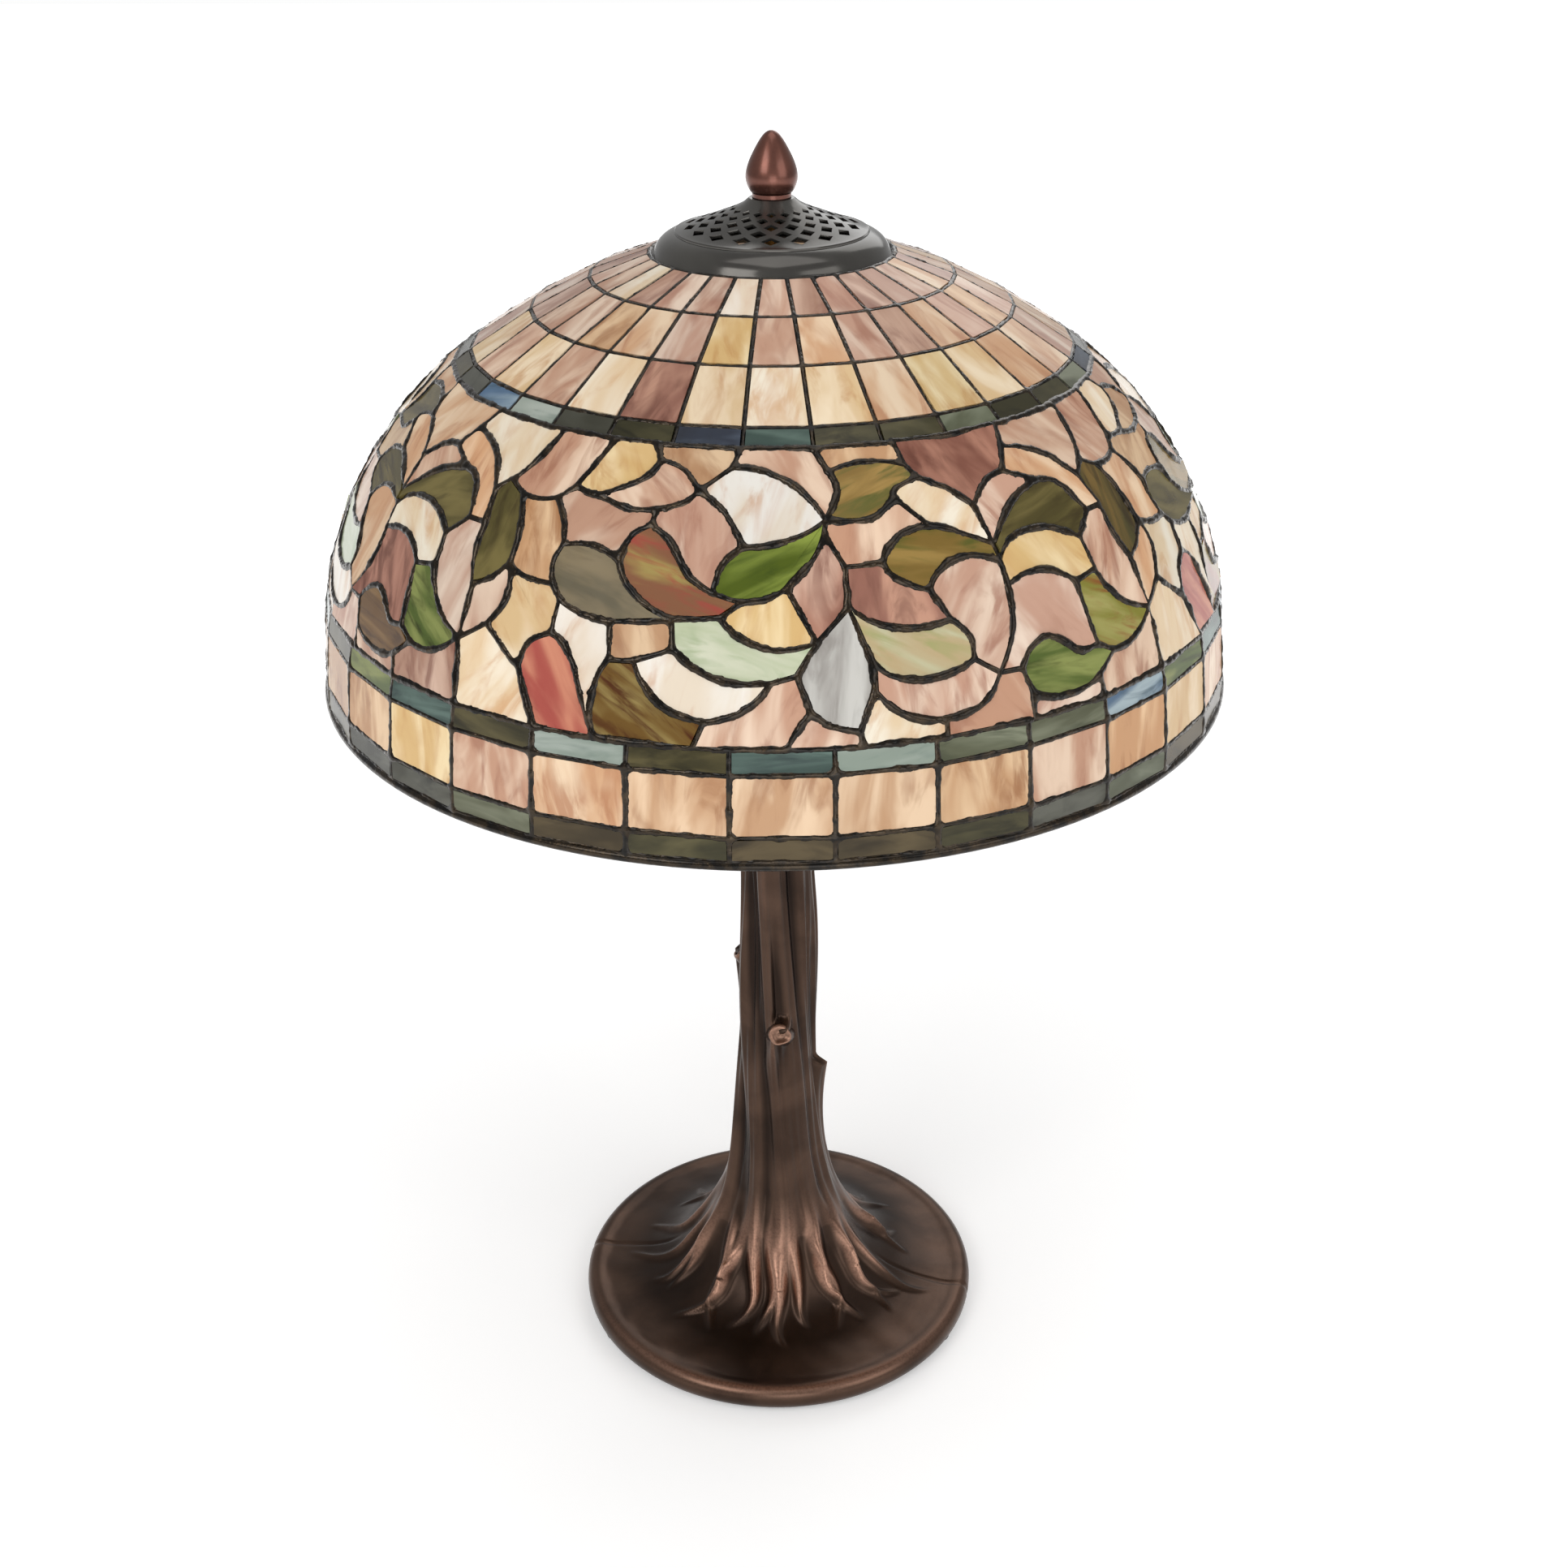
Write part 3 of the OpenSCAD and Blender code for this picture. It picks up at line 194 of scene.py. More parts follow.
# each glass colour: body, wisps, veins
glassColours = {
    "cream": [(238, 214, 178), (252, 242, 222), (218, 172, 128)],
    "white": [(242, 226, 204), (254, 248, 238), (220, 176, 144)],
    "peach": [(220, 174, 134), (248, 222, 190), (186, 128, 92)],
    "salmon": [(202, 158, 132), (242, 216, 192), (162, 110, 88)],
    "pink": [(206, 164, 142), (244, 222, 202), (174, 124, 104)],
    "tan": [(202, 156, 114), (240, 206, 166), (160, 108, 70)],
    "mauve": [(176, 136, 116), (226, 194, 174), (136, 92, 78)],
    "mauveDeep": [(150, 104, 90), (202, 156, 134), (104, 64, 54)],
    "rosewood": [(138, 90, 76), (190, 138, 118), (96, 56, 46)],
    "rosewoodPale": [(180, 132, 112), (224, 188, 166), (120, 74, 62)],
    "honey": [(222, 188, 130), (248, 228, 184), (194, 142, 82)],
    "honeyPale": [(228, 196, 148), (252, 232, 200), (200, 146, 92)],
    "olive": [(84, 76, 40), (124, 112, 66), (60, 50, 26)],
    "oliveDeep": [(78, 72, 38), (134, 106, 54), (54, 40, 22)],
    "greyOlive": [(92, 84, 60), (128, 114, 84), (68, 58, 40)],
    "leafGreen": [(84, 100, 46), (142, 150, 86), (54, 60, 26)],
    "brightGreen": [(86, 102, 30), (150, 168, 76), (60, 78, 26)],
    "fernRed": [(140, 138, 60), (176, 172, 104), (146, 64, 38)],
    "amberOlive": [(132, 106, 50), (166, 136, 74), (96, 96, 40)],
    "amberRed": [(122, 70, 24), (156, 138, 64), (150, 42, 18)],
    "stripedAmber": [(118, 88, 42), (166, 146, 90), (84, 44, 22)],
    "bark": [(110, 80, 46), (140, 108, 66), (78, 54, 34)],
    "mint": [(190, 202, 172), (216, 222, 202), (158, 178, 140)],
    "silver": [(172, 170, 166), (206, 206, 202), (142, 138, 134)],
    "yellowGreen": [(196, 172, 128), (206, 208, 172), (166, 168, 106)],
    "rose": [(176, 88, 78), (216, 146, 118), (146, 58, 56)],
    "slate": [(64, 65, 56), (104, 106, 98), (44, 45, 42)],
    "navy": [(34, 42, 58), (76, 88, 104), (24, 28, 40)],
    "darkOlive": [(60, 57, 37), (92, 86, 58), (40, 38, 26)],
    "teal": [(52, 74, 68), (98, 122, 114), (36, 52, 54)],
    "paleTeal": [(144, 158, 148), (186, 196, 188), (110, 128, 122)],
    "blue": [(84, 112, 142), (170, 190, 200), (48, 76, 92)],
    "greyGreen": [(88, 92, 72), (132, 138, 118), (62, 68, 52)],
    "apricot": [(200, 160, 124), (240, 212, 180), (158, 110, 76)],
    "umber": [(66, 57, 40), (96, 84, 60), (46, 39, 28)],
}


def linear(colour):
    # a screen colour of 0 to 255 in the values that shaders take
    values = [v / 255 for v in colour]
    return tuple(v / 12.92 if v <= 0.04045 else ((v + 0.055) / 1.055) ** 2.4 for v in values)


# nodes of the materials

def newMaterial(name):
    mat = bpy.data.materials.new(name)
    mat.use_nodes = True
    tree = mat.node_tree
    shader = tree.nodes["Principled BSDF"]
    return mat, tree, shader


def addNode(tree, kind, **values):
    node = tree.nodes.new(kind)
    for key, value in values.items():
        setattr(node, key, value)
    return node


def setInputs(node, values):
    for name, value in values.items():
        node.inputs[name].default_value = value


def feed(tree, socket, value):
    # a number or a colour is set, an output is linked
    if isinstance(value, (int, float)):
        socket.default_value = value
    elif isinstance(value, tuple):
        socket.default_value = (*value, 1)
    else:
        tree.links.new(value, socket)


def newGroup(name, inputs, outputs):
    group = bpy.data.node_groups.new(name, "ShaderNodeTree")
    for label, value in inputs.items():
        socket = group.interface.new_socket(name=label, in_out="INPUT", socket_type="NodeSocketFloat")
        socket.default_value = value
    for label, kind in outputs.items():
        group.interface.new_socket(name=label, in_out="OUTPUT", socket_type=kind)
    return group, group.nodes.new("NodeGroupInput"), group.nodes.new("NodeGroupOutput")


def ramp(tree, factor, places, low=0.0, high=1.0, mode="EASE"):
    node = tree.nodes.new("ShaderNodeValToRGB")
    node.color_ramp.interpolation = mode
    for element, place, value in zip(node.color_ramp.elements, places, (low, high)):
        element.position = place
        element.color = (value, value, value, 1)
    tree.links.new(factor, node.inputs[0])
    return node.outputs[0]


def maths(tree, operation, *values, clamp=False):
    node = addNode(tree, "ShaderNodeMath", operation=operation, use_clamp=clamp)
    for socket, value in zip(node.inputs, values):
        feed(tree, socket, value)
    return node.outputs[0]


def mixColour(tree, a, b, factor):
    node = addNode(tree, "ShaderNodeMix", data_type="RGBA")
    for index, value in ((0, factor), (6, a), (7, b)):
        feed(tree, node.inputs[index], value)
    return node.outputs[2]


def noiseField(tree, place, scale, detail, roughness=0.5, distortion=0.0):
    node = tree.nodes.new("ShaderNodeTexNoise")
    setInputs(node, {"Detail": detail, "Roughness": roughness, "Distortion": distortion})
    feed(tree, node.inputs["Scale"], scale)
    if place:
        tree.links.new(place, node.inputs["Vector"])
    return node.outputs[0]


def addBump(tree, shader, height, strength, distance):
    bump = tree.nodes.new("ShaderNodeBump")
    setInputs(bump, {"Strength": strength, "Distance": distance})
    tree.links.new(height, bump.inputs["Height"])
    tree.links.new(bump.outputs[0], shader.inputs["Normal"])


# rolled glass: long wisps of one colour in another, crossed by fine veins
rolledGlass = {
    "wisps": {"scale": 17.0, "detail": 3.0, "distortion": 0.8},
    "wispEdge": (0.38, 0.66),
    "veins": {"scale": 30.0, "detail": 4.0, "roughness": 0.55, "distortion": 0.9},
    "veinEdge": (0.45, 0.68),
    "veinPatches": {"scale": 26.0, "detail": 3.0},
    "veinPatchEdge": (0.3, 0.62),
    "veinLeast": 0.1,
    "ripples": {"scale": 70.0, "detail": 1.5},
    "rippleStrength": 0.16,
    "rippleDepth": 0.001,
    "gloss": {"IOR": 1.52, "Specular IOR Level": 0.14, "Coat Roughness": 0.06},
}

# aged metal: slow mottling and fine grain, bright where it is rubbed and under a painted highlight, and dark
# in its folds with painted shade
agedMetal = {
    "mottle": {"detail": 4.0, "distortion": 0.5},
    "mottleEdge": (0.32, 0.7),
    "grain": {"scale": 900.0, "detail": 3.0},
    "grainHeight": 0.35,
    "bumpDepth": 0.0006,
    "coatRoughness": 0.12,
    "rubSheenGrain": (0.25, 0.6),
    "rubSheenLeast": 0.55,
    "foldShadeShare": 0.85,
    "foldShadeColour": (0.006, 0.003, 0.002),
}


def makeStreakGroup():
    look = rolledGlass
    group, given, result = newGroup("rolledGlassStreaks", {"Wisp Stretch": 5.0, "Vein Amount": 0.5},
                                    {"Color": "NodeSocketColor", "Height": "NodeSocketFloat"})
    link = group.links.new
    sheet = addNode(group, "ShaderNodeUVMap", uv_map="sheet").outputs[0]
    body, wisp, vein = [addNode(group, "ShaderNodeAttribute", attribute_name=tint).outputs[0]
                        for tint in tintNames]
    stretch = group.nodes.new("ShaderNodeCombineXYZ")
    setInputs(stretch, {"Y": 1.0, "Z": 1.0})
    link(given.outputs["Wisp Stretch"], stretch.inputs["X"])
    scaled = addNode(group, "ShaderNodeVectorMath", operation="MULTIPLY")
    link(sheet, scaled.inputs[0])
    link(stretch.outputs[0], scaled.inputs[1])
    wisps = ramp(group, noiseField(group, scaled.outputs[0], **look["wisps"]), look["wispEdge"])
    veins = ramp(group, noiseField(group, scaled.outputs[0], **look["veins"]), look["veinEdge"])
    patches = ramp(group, noiseField(group, sheet, **look["veinPatches"]), look["veinPatchEdge"],
                   low=look["veinLeast"])
    veinShare = maths(group, "MULTIPLY", veins, given.outputs["Vein Amount"])
    veinShare = maths(group, "MULTIPLY", veinShare, patches)
    streaked = mixColour(group, body, wisp, wisps)
    link(mixColour(group, streaked, vein, veinShare), result.inputs["Color"])
    link(noiseField(group, sheet, **look["ripples"]), result.inputs["Height"])
    return group


def makeAgedGroup():
    look = agedMetal
    outputs = ("Mottle", "Grain", "Height")
    group, given, result = newGroup("agedSurface", {"Size": 60.0},
                                    {name: "NodeSocketFloat" for name in outputs})
    place = group.nodes.new("ShaderNodeTexCoord").outputs["Object"]
    mottle = noiseField(group, place, given.outputs["Size"], **look["mottle"])
    grain = noiseField(group, place, **look["grain"])
    height = maths(group, "MULTIPLY_ADD", grain, look["grainHeight"], mottle)
    for name, value in zip(outputs, (ramp(group, mottle, look["mottleEdge"]), grain, height)):
        group.links.new(value, result.inputs[name])
    return group


streakGroup = makeStreakGroup()
agedGroup = makeAgedGroup()


def glassMaterial(name, roughness, stretch, veins, coat):
    look = rolledGlass
    mat, tree, shader = newMaterial(name)
    streaks = addNode(tree, "ShaderNodeGroup", node_tree=streakGroup)
    setInputs(streaks, {"Wisp Stretch": stretch, "Vein Amount": veins})
    tree.links.new(streaks.outputs["Color"], shader.inputs["Base Color"])
    addBump(tree, shader, streaks.outputs["Height"], look["rippleStrength"], look["rippleDepth"])
    setInputs(shader, {"Roughness": roughness, "Coat Weight": coat, **look["gloss"]})
    return mat


def metalMaterial(name, dark, light, smoothest, roughest, metallic=1.0, size=60.0, bump=0.25,
                  coat=0.0, rubSheenColour=None):
    look = agedMetal
    mat, tree, shader = newMaterial(name)
    link = tree.links.new
    aged = addNode(tree, "ShaderNodeGroup", node_tree=agedGroup)
    setInputs(aged, {"Size": size})
    colour = mixColour(tree, linear(dark), linear(light), aged.outputs["Mottle"])
    rough = addNode(tree, "ShaderNodeMapRange")
    setInputs(rough, {"To Min": smoothest, "To Max": roughest})
    link(aged.outputs["Grain"], rough.inputs["Value"])
    # the rub colour is rubbed wear plus a painted highlight; the fold colour is painted shade in the folds
    if rubSheenColour:
        rubSheenShade = addNode(tree, "ShaderNodeAttribute", attribute_name="rubSheenShade").outputs["Fac"]
        broken = ramp(tree, aged.outputs["Grain"], look["rubSheenGrain"], low=look["rubSheenLeast"], mode="LINEAR")
        rubSheenShare = maths(tree, "MULTIPLY", ramp(tree, rubSheenShade, (0.0, 1.0)), broken)
        colour = mixColour(tree, colour, linear(rubSheenColour), rubSheenShare)
        foldShading = maths(tree, "MULTIPLY", rubSheenShade, -look["foldShadeShare"], clamp=True)
        colour = mixColour(tree, colour, look["foldShadeColour"], foldShading)
    link(colour, shader.inputs["Base Color"])
    link(rough.outputs[0], shader.inputs["Roughness"])
    addBump(tree, shader, aged.outputs["Height"], bump, look["bumpDepth"])
    setInputs(shader, {"Metallic": metallic, "Coat Weight": coat, "Coat Roughness": look["coatRoughness"]})
    return mat


materials = {
    # the bronze's light rub colour is rubbed wear with a painted highlight
    "bronze": metalMaterial("castBronze", (54, 40, 32), (80, 61, 50), 0.24, 0.4, 0.85, 26.0, 0.06,
                            rubSheenColour=(172, 132, 112)),
    "plate": metalMaterial("paintedPlate", (44, 40, 38), (60, 54, 50), 0.45, 0.7, 0.0, 40.0),
    "steel": metalMaterial("plainSteel", (150, 150, 150), (184, 184, 184), 0.25, 0.45),
    "brass": metalMaterial("agedBrass", (150, 116, 66), (190, 156, 96), 0.22, 0.42),
    "dark_metal": metalMaterial("gunmetal", (74, 72, 69), (88, 86, 82), 0.14, 0.2, 0.8, 24.0, 0.003),
    "copper": metalMaterial("copperBrown", (86, 52, 44), (112, 72, 61), 0.24, 0.36, 0.9, 50.0, 0.02,
                            coat=0.2),
    "solder": metalMaterial("patinaSolder", (10, 7, 4), (54, 43, 29), 0.08, 0.3, 0.94, 170.0, 0.9,
                            coat=0.35),
    "rubber": metalMaterial("padRubber", (30, 30, 30), (44, 44, 44), 0.6, 0.85, 0.0, 80.0, 0.5),
    "black_plastic": metalMaterial("mouldedPlastic", (20, 20, 20), (30, 30, 30), 0.3, 0.5, 0.0, 90.0),
    "bulb_glass": metalMaterial("frostedBulb", (236, 234, 228), (246, 245, 240), 0.35, 0.5, 0.0, 30.0, 0.08),
    "cream_glass": glassMaterial("creamGlass", 0.2, 3.4, 0.78, 0.04),
    "slate_glass": glassMaterial("slateGlass", 0.16, 3.0, 0.8, 0.06),
    "olive_glass": glassMaterial("oliveGlass", 0.16, 4.0, 0.8, 0.06),
    "green_glass": glassMaterial("greenGlass", 0.16, 4.5, 0.9, 0.06),
    "amber_glass": glassMaterial("amberGlass", 0.16, 6.5, 1.0, 0.06),
    "pale_glass": glassMaterial("paleGlass", 0.14, 4.0, 0.9, 0.15),
    "rose_glass": glassMaterial("roseGlass", 0.16, 4.0, 0.8, 0.06),
}

slotOf = {s["node"]: s["material_slot"] for s in record["subparts"]}
slotOf["shade_support"] = "dark_metal"
for name, obj in nodes.items():
    obj.data.materials.clear()
    obj.data.materials.append(materials[slotOf[name]])
print("materials ready")


# making pieces

weldReach = 0.00001     # metres within which doubled points are merged
pinRadius = 0.0001      # millimetres, the smallest ring of a turned piece


def clearSelection():
    if bpy.context.object and bpy.context.object.mode != "OBJECT":
        bpy.ops.object.mode_set(mode="OBJECT")
    bpy.ops.object.select_all(action="DESELECT")


def makeActive(obj):
    clearSelection()
    obj.select_set(True)
    bpy.context.view_layer.objects.active = obj


def applyModifier(obj, kind, **values):
    makeActive(obj)
    mod = obj.modifiers.new(kind.lower(), kind)
    for key, value in values.items():
        setattr(mod, key, value)
    bpy.ops.object.modifier_apply(modifier=mod.name)


def linkNew(name, data):
    obj = bpy.data.objects.new(name, data)
    bpy.context.collection.objects.link(obj)
    return obj


def finishPiece(obj, name, body, cadNodes, slot, angle=None):
    obj.name = name
    obj.data.name = name
    makeActive(obj)
    bpy.ops.object.transform_apply(location=True, rotation=True, scale=True)
    if angle is None:
        bpy.ops.object.shade_smooth()
    elif angle:
        bpy.ops.object.shade_smooth_by_angle(angle=math.radians(angle))
    obj.data.materials.clear()
    obj.data.materials.append(materials[slot])
    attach(obj, body)
    if cadNodes:
        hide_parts(*cadNodes)
    return obj


def weldAndFaceOut():
    # from edit mode: doubled points are merged and the faces turned outwards
    bpy.ops.mesh.select_all(action="SELECT")
    bpy.ops.mesh.remove_doubles(threshold=weldReach)
    bpy.ops.mesh.normals_make_consistent(inside=False)
    bpy.ops.object.mode_set(mode="OBJECT")


def turnedPiece(profile, segments, capEnd=False):
    # a circle drawn up through the profile by extrusion and scaling, all in millimetres
    clearSelection()
    r, z = profile[0]
    bpy.ops.mesh.primitive_circle_add(vertices=segments, radius=r * mm, location=(0, 0, z * mm))
    obj = bpy.context.object
    bpy.ops.object.transform_apply(location=True)
    bpy.ops.object.mode_set(mode="EDIT")
    bpy.ops.mesh.select_mode(type="VERT")
    bpy.ops.mesh.select_all(action="SELECT")
    for nextRadius, nextZ in profile[1:]:
        nextRadius = max(nextRadius, pinRadius)
        bpy.ops.mesh.extrude_edges_move(TRANSFORM_OT_translate={"value": (0, 0, (nextZ - z) * mm)})
        k = nextRadius / r
        bpy.ops.transform.resize(value=(k, k, 1), center_override=(0, 0, nextZ * mm))
        r, z = nextRadius, nextZ
    if capEnd:
        bpy.ops.mesh.merge(type="CENTER")
    weldAndFaceOut()
    return obj


def sheetGrid(columns, rows, place):
    # a flat grid wrapped round the axis: place(u, v) gives a point in millimetres and its wear with painted
    # highlight and shade
    clearSelection()
    bpy.ops.mesh.primitive_grid_add(x_subdivisions=columns, y_subdivisions=rows, size=2)
    obj = bpy.context.object
    rubSheenShade = obj.data.attributes.new("rubSheenShade", "FLOAT", "POINT")
    for v in obj.data.vertices:
        point, wearAndSheen = place((v.co.x + 1) / 2, (v.co.y + 1) / 2)
        rubSheenShade.data[v.index].value = wearAndSheen
        v.co = Vector(point) * mm
    bpy.ops.object.mode_set(mode="EDIT")
    weldAndFaceOut()
    return obj


# shape of the shade

rings = [Vector((r, shade["rimHeight"] + z)) for r, z in shade["rings"]]
topHeight = rings[0].y
panelAngle = 360 / shade["panels"]
repeatAngle = 360 // shade["bandRepeats"]
bandRing = shade["bandRing"]
bandTop, bandLow = rings[bandRing:bandRing + 2]
halfTurn = math.radians(shade["bandTurn"])
chord = (bandLow - bandTop).length
bandRadius = chord / 2 / math.sin(halfTurn)
bandDir = (bandLow - bandTop) / chord
bandOut = Vector((-bandDir.y, bandDir.x))
bandCentre = (bandTop + bandLow) / 2 - bandOut * bandRadius * math.cos(halfTurn)


def around(degrees, r, z):
    a = math.radians(degrees)
    return Vector((r * math.sin(a), -r * math.cos(a), z))


def seamAngle(panel):
    return shade["phase"] + panel * panelAngle


def chordShrink(degrees):
    # the flat panels lie inside the circle through their corners
    s = (degrees - shade["phase"]) / panelAngle
    f = s - math.floor(s)
    return math.cos(math.radians(panelAngle / 2)) / math.cos(math.radians((f - 0.5) * panelAngle))


def domePoint(degrees, depth):
    t = math.radians((depth / shade["bandDepth"] * 2 - 1) * shade["bandTurn"])
    p = bandCentre + (bandOut * math.cos(t) + bandDir * math.sin(t)) * bandRadius
    edge = min(depth, shade["bandDepth"] - depth)
    share = max(0.0, 1 - edge / shade["easeDepth"])
    k = 1 + (chordShrink(degrees) - 1) * share
    return around(degrees, p.x * k, p.y)


def ringPoint(ring, degrees):
    p = rings[ring]
    return around(degrees, p.x * chordShrink(degrees), p.y)


def shiftOf(corner):
    return 1 if corner >= 200 else -1 if corner >= 100 else 0


def cornerPoint(corner):
    a, v = bandCorners[corner % 100]
    return (a + repeatAngle * shiftOf(corner), v)


def curvePoint(p0, p1, p2, p3, t):
    # between p1 and p2 on the smooth curve through all four
    return tuple(
        0.5 * (2 * p1[k] + (p2[k] - p0[k]) * t + (2 * p0[k] - 5 * p1[k] + 4 * p2[k] - p3[k]) * t * t
               + (3 * p1[k] - p0[k] - 3 * p2[k] + p3[k]) * t ** 3) for k in (0, 1))


def pointBeyond(end, inner, third):
    # where the curve would go on past its end
    return [end[k] - (inner[k] - end[k]) + 0.5 * (third[k] - 2 * inner[k] + end[k]) for k in (0, 1)]


def smoothChain(points, steps=4, straightSteps=3):
    # a curve through every point, in degrees and depth
    if len(points) == 2:
        a, b = points
        return [(a[0] + (b[0] - a[0]) * i / straightSteps, a[1] + (b[1] - a[1]) * i / straightSteps)
                for i in range(straightSteps + 1)]
    out = []
    n = len(points)
    for i in range(n - 1):
        p1, p2 = points[i], points[i + 1]
        p0 = points[i - 1] if i else pointBeyond(p1, p2, points[2])
        p3 = points[i + 2] if i + 2 < n else pointBeyond(p2, p1, points[i - 1])
        out += [curvePoint(p0, p1, p2, p3, s / steps) for s in range(steps)]
    out.append(points[-1])
    return out


seamChains = {}
for first, last, *bends in bandSeams:
    points = [cornerPoint(first)] + [tuple(b) for b in bends] + [cornerPoint(last)]
    straight = all(p[1] == points[0][1] for p in points)
    chain = points if straight else smoothChain(points)
    seamChains[(first % 100, last % 100)] = (shiftOf(first), shiftOf(last), chain)


def chainBetween(p, q):
    # the seam from corner p to corner q, in the repeat where p lies
    wanted = (p % 100, q % 100, shiftOf(q) - shiftOf(p))
    for (a, b), (shiftA, shiftB, chain) in seamChains.items():
        if (a, b, shiftB - shiftA) == wanted:
            return [(c[0] + repeatAngle * (shiftOf(p) - shiftA), c[1]) for c in chain]
        if (b, a, shiftA - shiftB) == wanted:
            return [(c[0] + repeatAngle * (shiftOf(p) - shiftB), c[1]) for c in reversed(chain)]
    raise ValueError((p, q))


# glass sheets

sheetLook = {
    "thickness": 2.5,
    "inset": 0.9,
    "sharpest": 0.3,           # keeps the inset small at sharp corners
    "anyTurn": 42,             # degrees the streaks may turn where they follow nothing
    "leafTurn": 9,
    "slide": 4,                # how far the pattern moves from sheet to sheet
    "light": (0.68, 0.8),
    "warmth": (-0.01, 0.05),
}


def insetLoop(flat, distance):
    n = len(flat)
    out = []
    for i in range(n):
        a = (flat[i] - flat[i - 1]).normalized()
        b = (flat[(i + 1) % n] - flat[i]).normalized()
        k = max(1 + a.dot(b), sheetLook["sharpest"])
        out.append(flat[i] + Vector((-a.y - b.y, a.x + b.x)) * distance / k)
    return out


class GlassMesh:
    def __init__(self):
        self.bm = bmesh.new()
        self.uv = self.bm.loops.layers.uv.new("sheet")
        self.tints = [self.bm.loops.layers.float_color.new(name) for name in tintNames]

    def addSheet(self, points, colourName, grain=None):
        n = len(points)
        centre = sum(points, Vector()) / n
        normal = Vector()
        for i in range(n):
            normal += (points[i] - centre).cross(points[(i + 1) % n] - centre)
        # every sheet faces out and a little up
        if normal.dot(Vector((centre.x, centre.y, 60))) < 0:
            points = list(reversed(points))
            normal = -normal
        normal.normalize()
        ex = Vector((0, 0, 1)).cross(normal).normalized()
        ey = normal.cross(ex)
        flat = [Vector(((p - centre).dot(ex), (p - centre).dot(ey))) for p in points]
        flat = insetLoop(flat, sheetLook["inset"])
        half = sheetLook["thickness"] / 2
        top, low = [[self.bm.verts.new((centre + ex * f.x + ey * f.y + normal * side) * mm) for f in flat]
                    for side in (half, -half)]
        faces = [self.bm.faces.new(top), self.bm.faces.new(list(reversed(low)))]
        for i in range(n):
            j = (i + 1) % n
            faces.append(self.bm.faces.new([top[j], top[i], low[i], low[j]]))
        anyTurn, leafTurn, slide = (sheetLook[k] for k in ("anyTurn", "leafTurn", "slide"))
        turn = dice.uniform(-anyTurn, anyTurn) if grain is None else grain + dice.uniform(-leafTurn, leafTurn)
        turn = math.radians(turn)
        offset = Vector((dice.uniform(-slide, slide), dice.uniform(-slide, slide)))
        light = dice.uniform(*sheetLook["light"])
        warm = dice.uniform(*sheetLook["warmth"])
        tints = []
        for tint in glassColours[colourName]:
            r, g, b = linear(tint)
            red, green, blue = r * light * (1 + warm), g * light, b * light * (1 - warm)
            tints.append((min(1, red), min(1, green), min(1, blue), 1))
        cs, sn = math.cos(turn), math.sin(turn)
        place = {}
        for v, f in zip(top + low, flat + flat):
            place[v] = (Vector((f.x * cs - f.y * sn, f.x * sn + f.y * cs)) * mm) + offset
        for face in faces:
            for loop in face.loops:
                loop[self.uv].uv = place[loop.vert]
                for layer, value in zip(self.tints, tints):
                    loop[layer] = value

    def toObject(self, name):
        mesh = bpy.data.meshes.new(name)
        self.bm.to_mesh(mesh)
        self.bm.free()
        return linkNew(name, mesh)


def leafGrain(outline):
    # the streaks of a leaf follow its length; a degree round the shade is about 3 mm
    far = max(((p, q) for p in outline[::3] for q in outline[::3]),
              key=lambda pq: (pq[0][0] - pq[1][0]) ** 2 * 9 + (pq[0][1] - pq[1][1]) ** 2)
    dx, dy = (far[1][0] - far[0][0]) * 3, far[0][1] - far[1][1]
    return 90 - math.degrees(math.atan2(dy, dx))


bandMeshes = {}
for turn in range(shade["bandRepeats"]):
    for words, *corners in bandGlass:
        family, frontColour, otherColour = words.split()
        leaf = "_" in family
        outline = []
        for p, q in zip(corners, corners[1:] + corners[:1]):
            outline += chainBetween(p, q)[:-1]
        points = [domePoint(a + repeatAngle * turn, v) for a, v in outline]
        mesh = bandMeshes.setdefault(family if leaf else "background_" + family, GlassMesh())
        mesh.addSheet(points, otherColour if turn else frontColour, leafGrain(outline) if leaf else None)
for family, mesh in bandMeshes.items():
    slot = "cream_glass" if "background" in family else family.split("_")[0] + "_glass"
    finishPiece(mesh.toObject(family), family + "_sheets", "shade", ["glass_" + family], slot, angle=0)
print("leaf band glass cut")

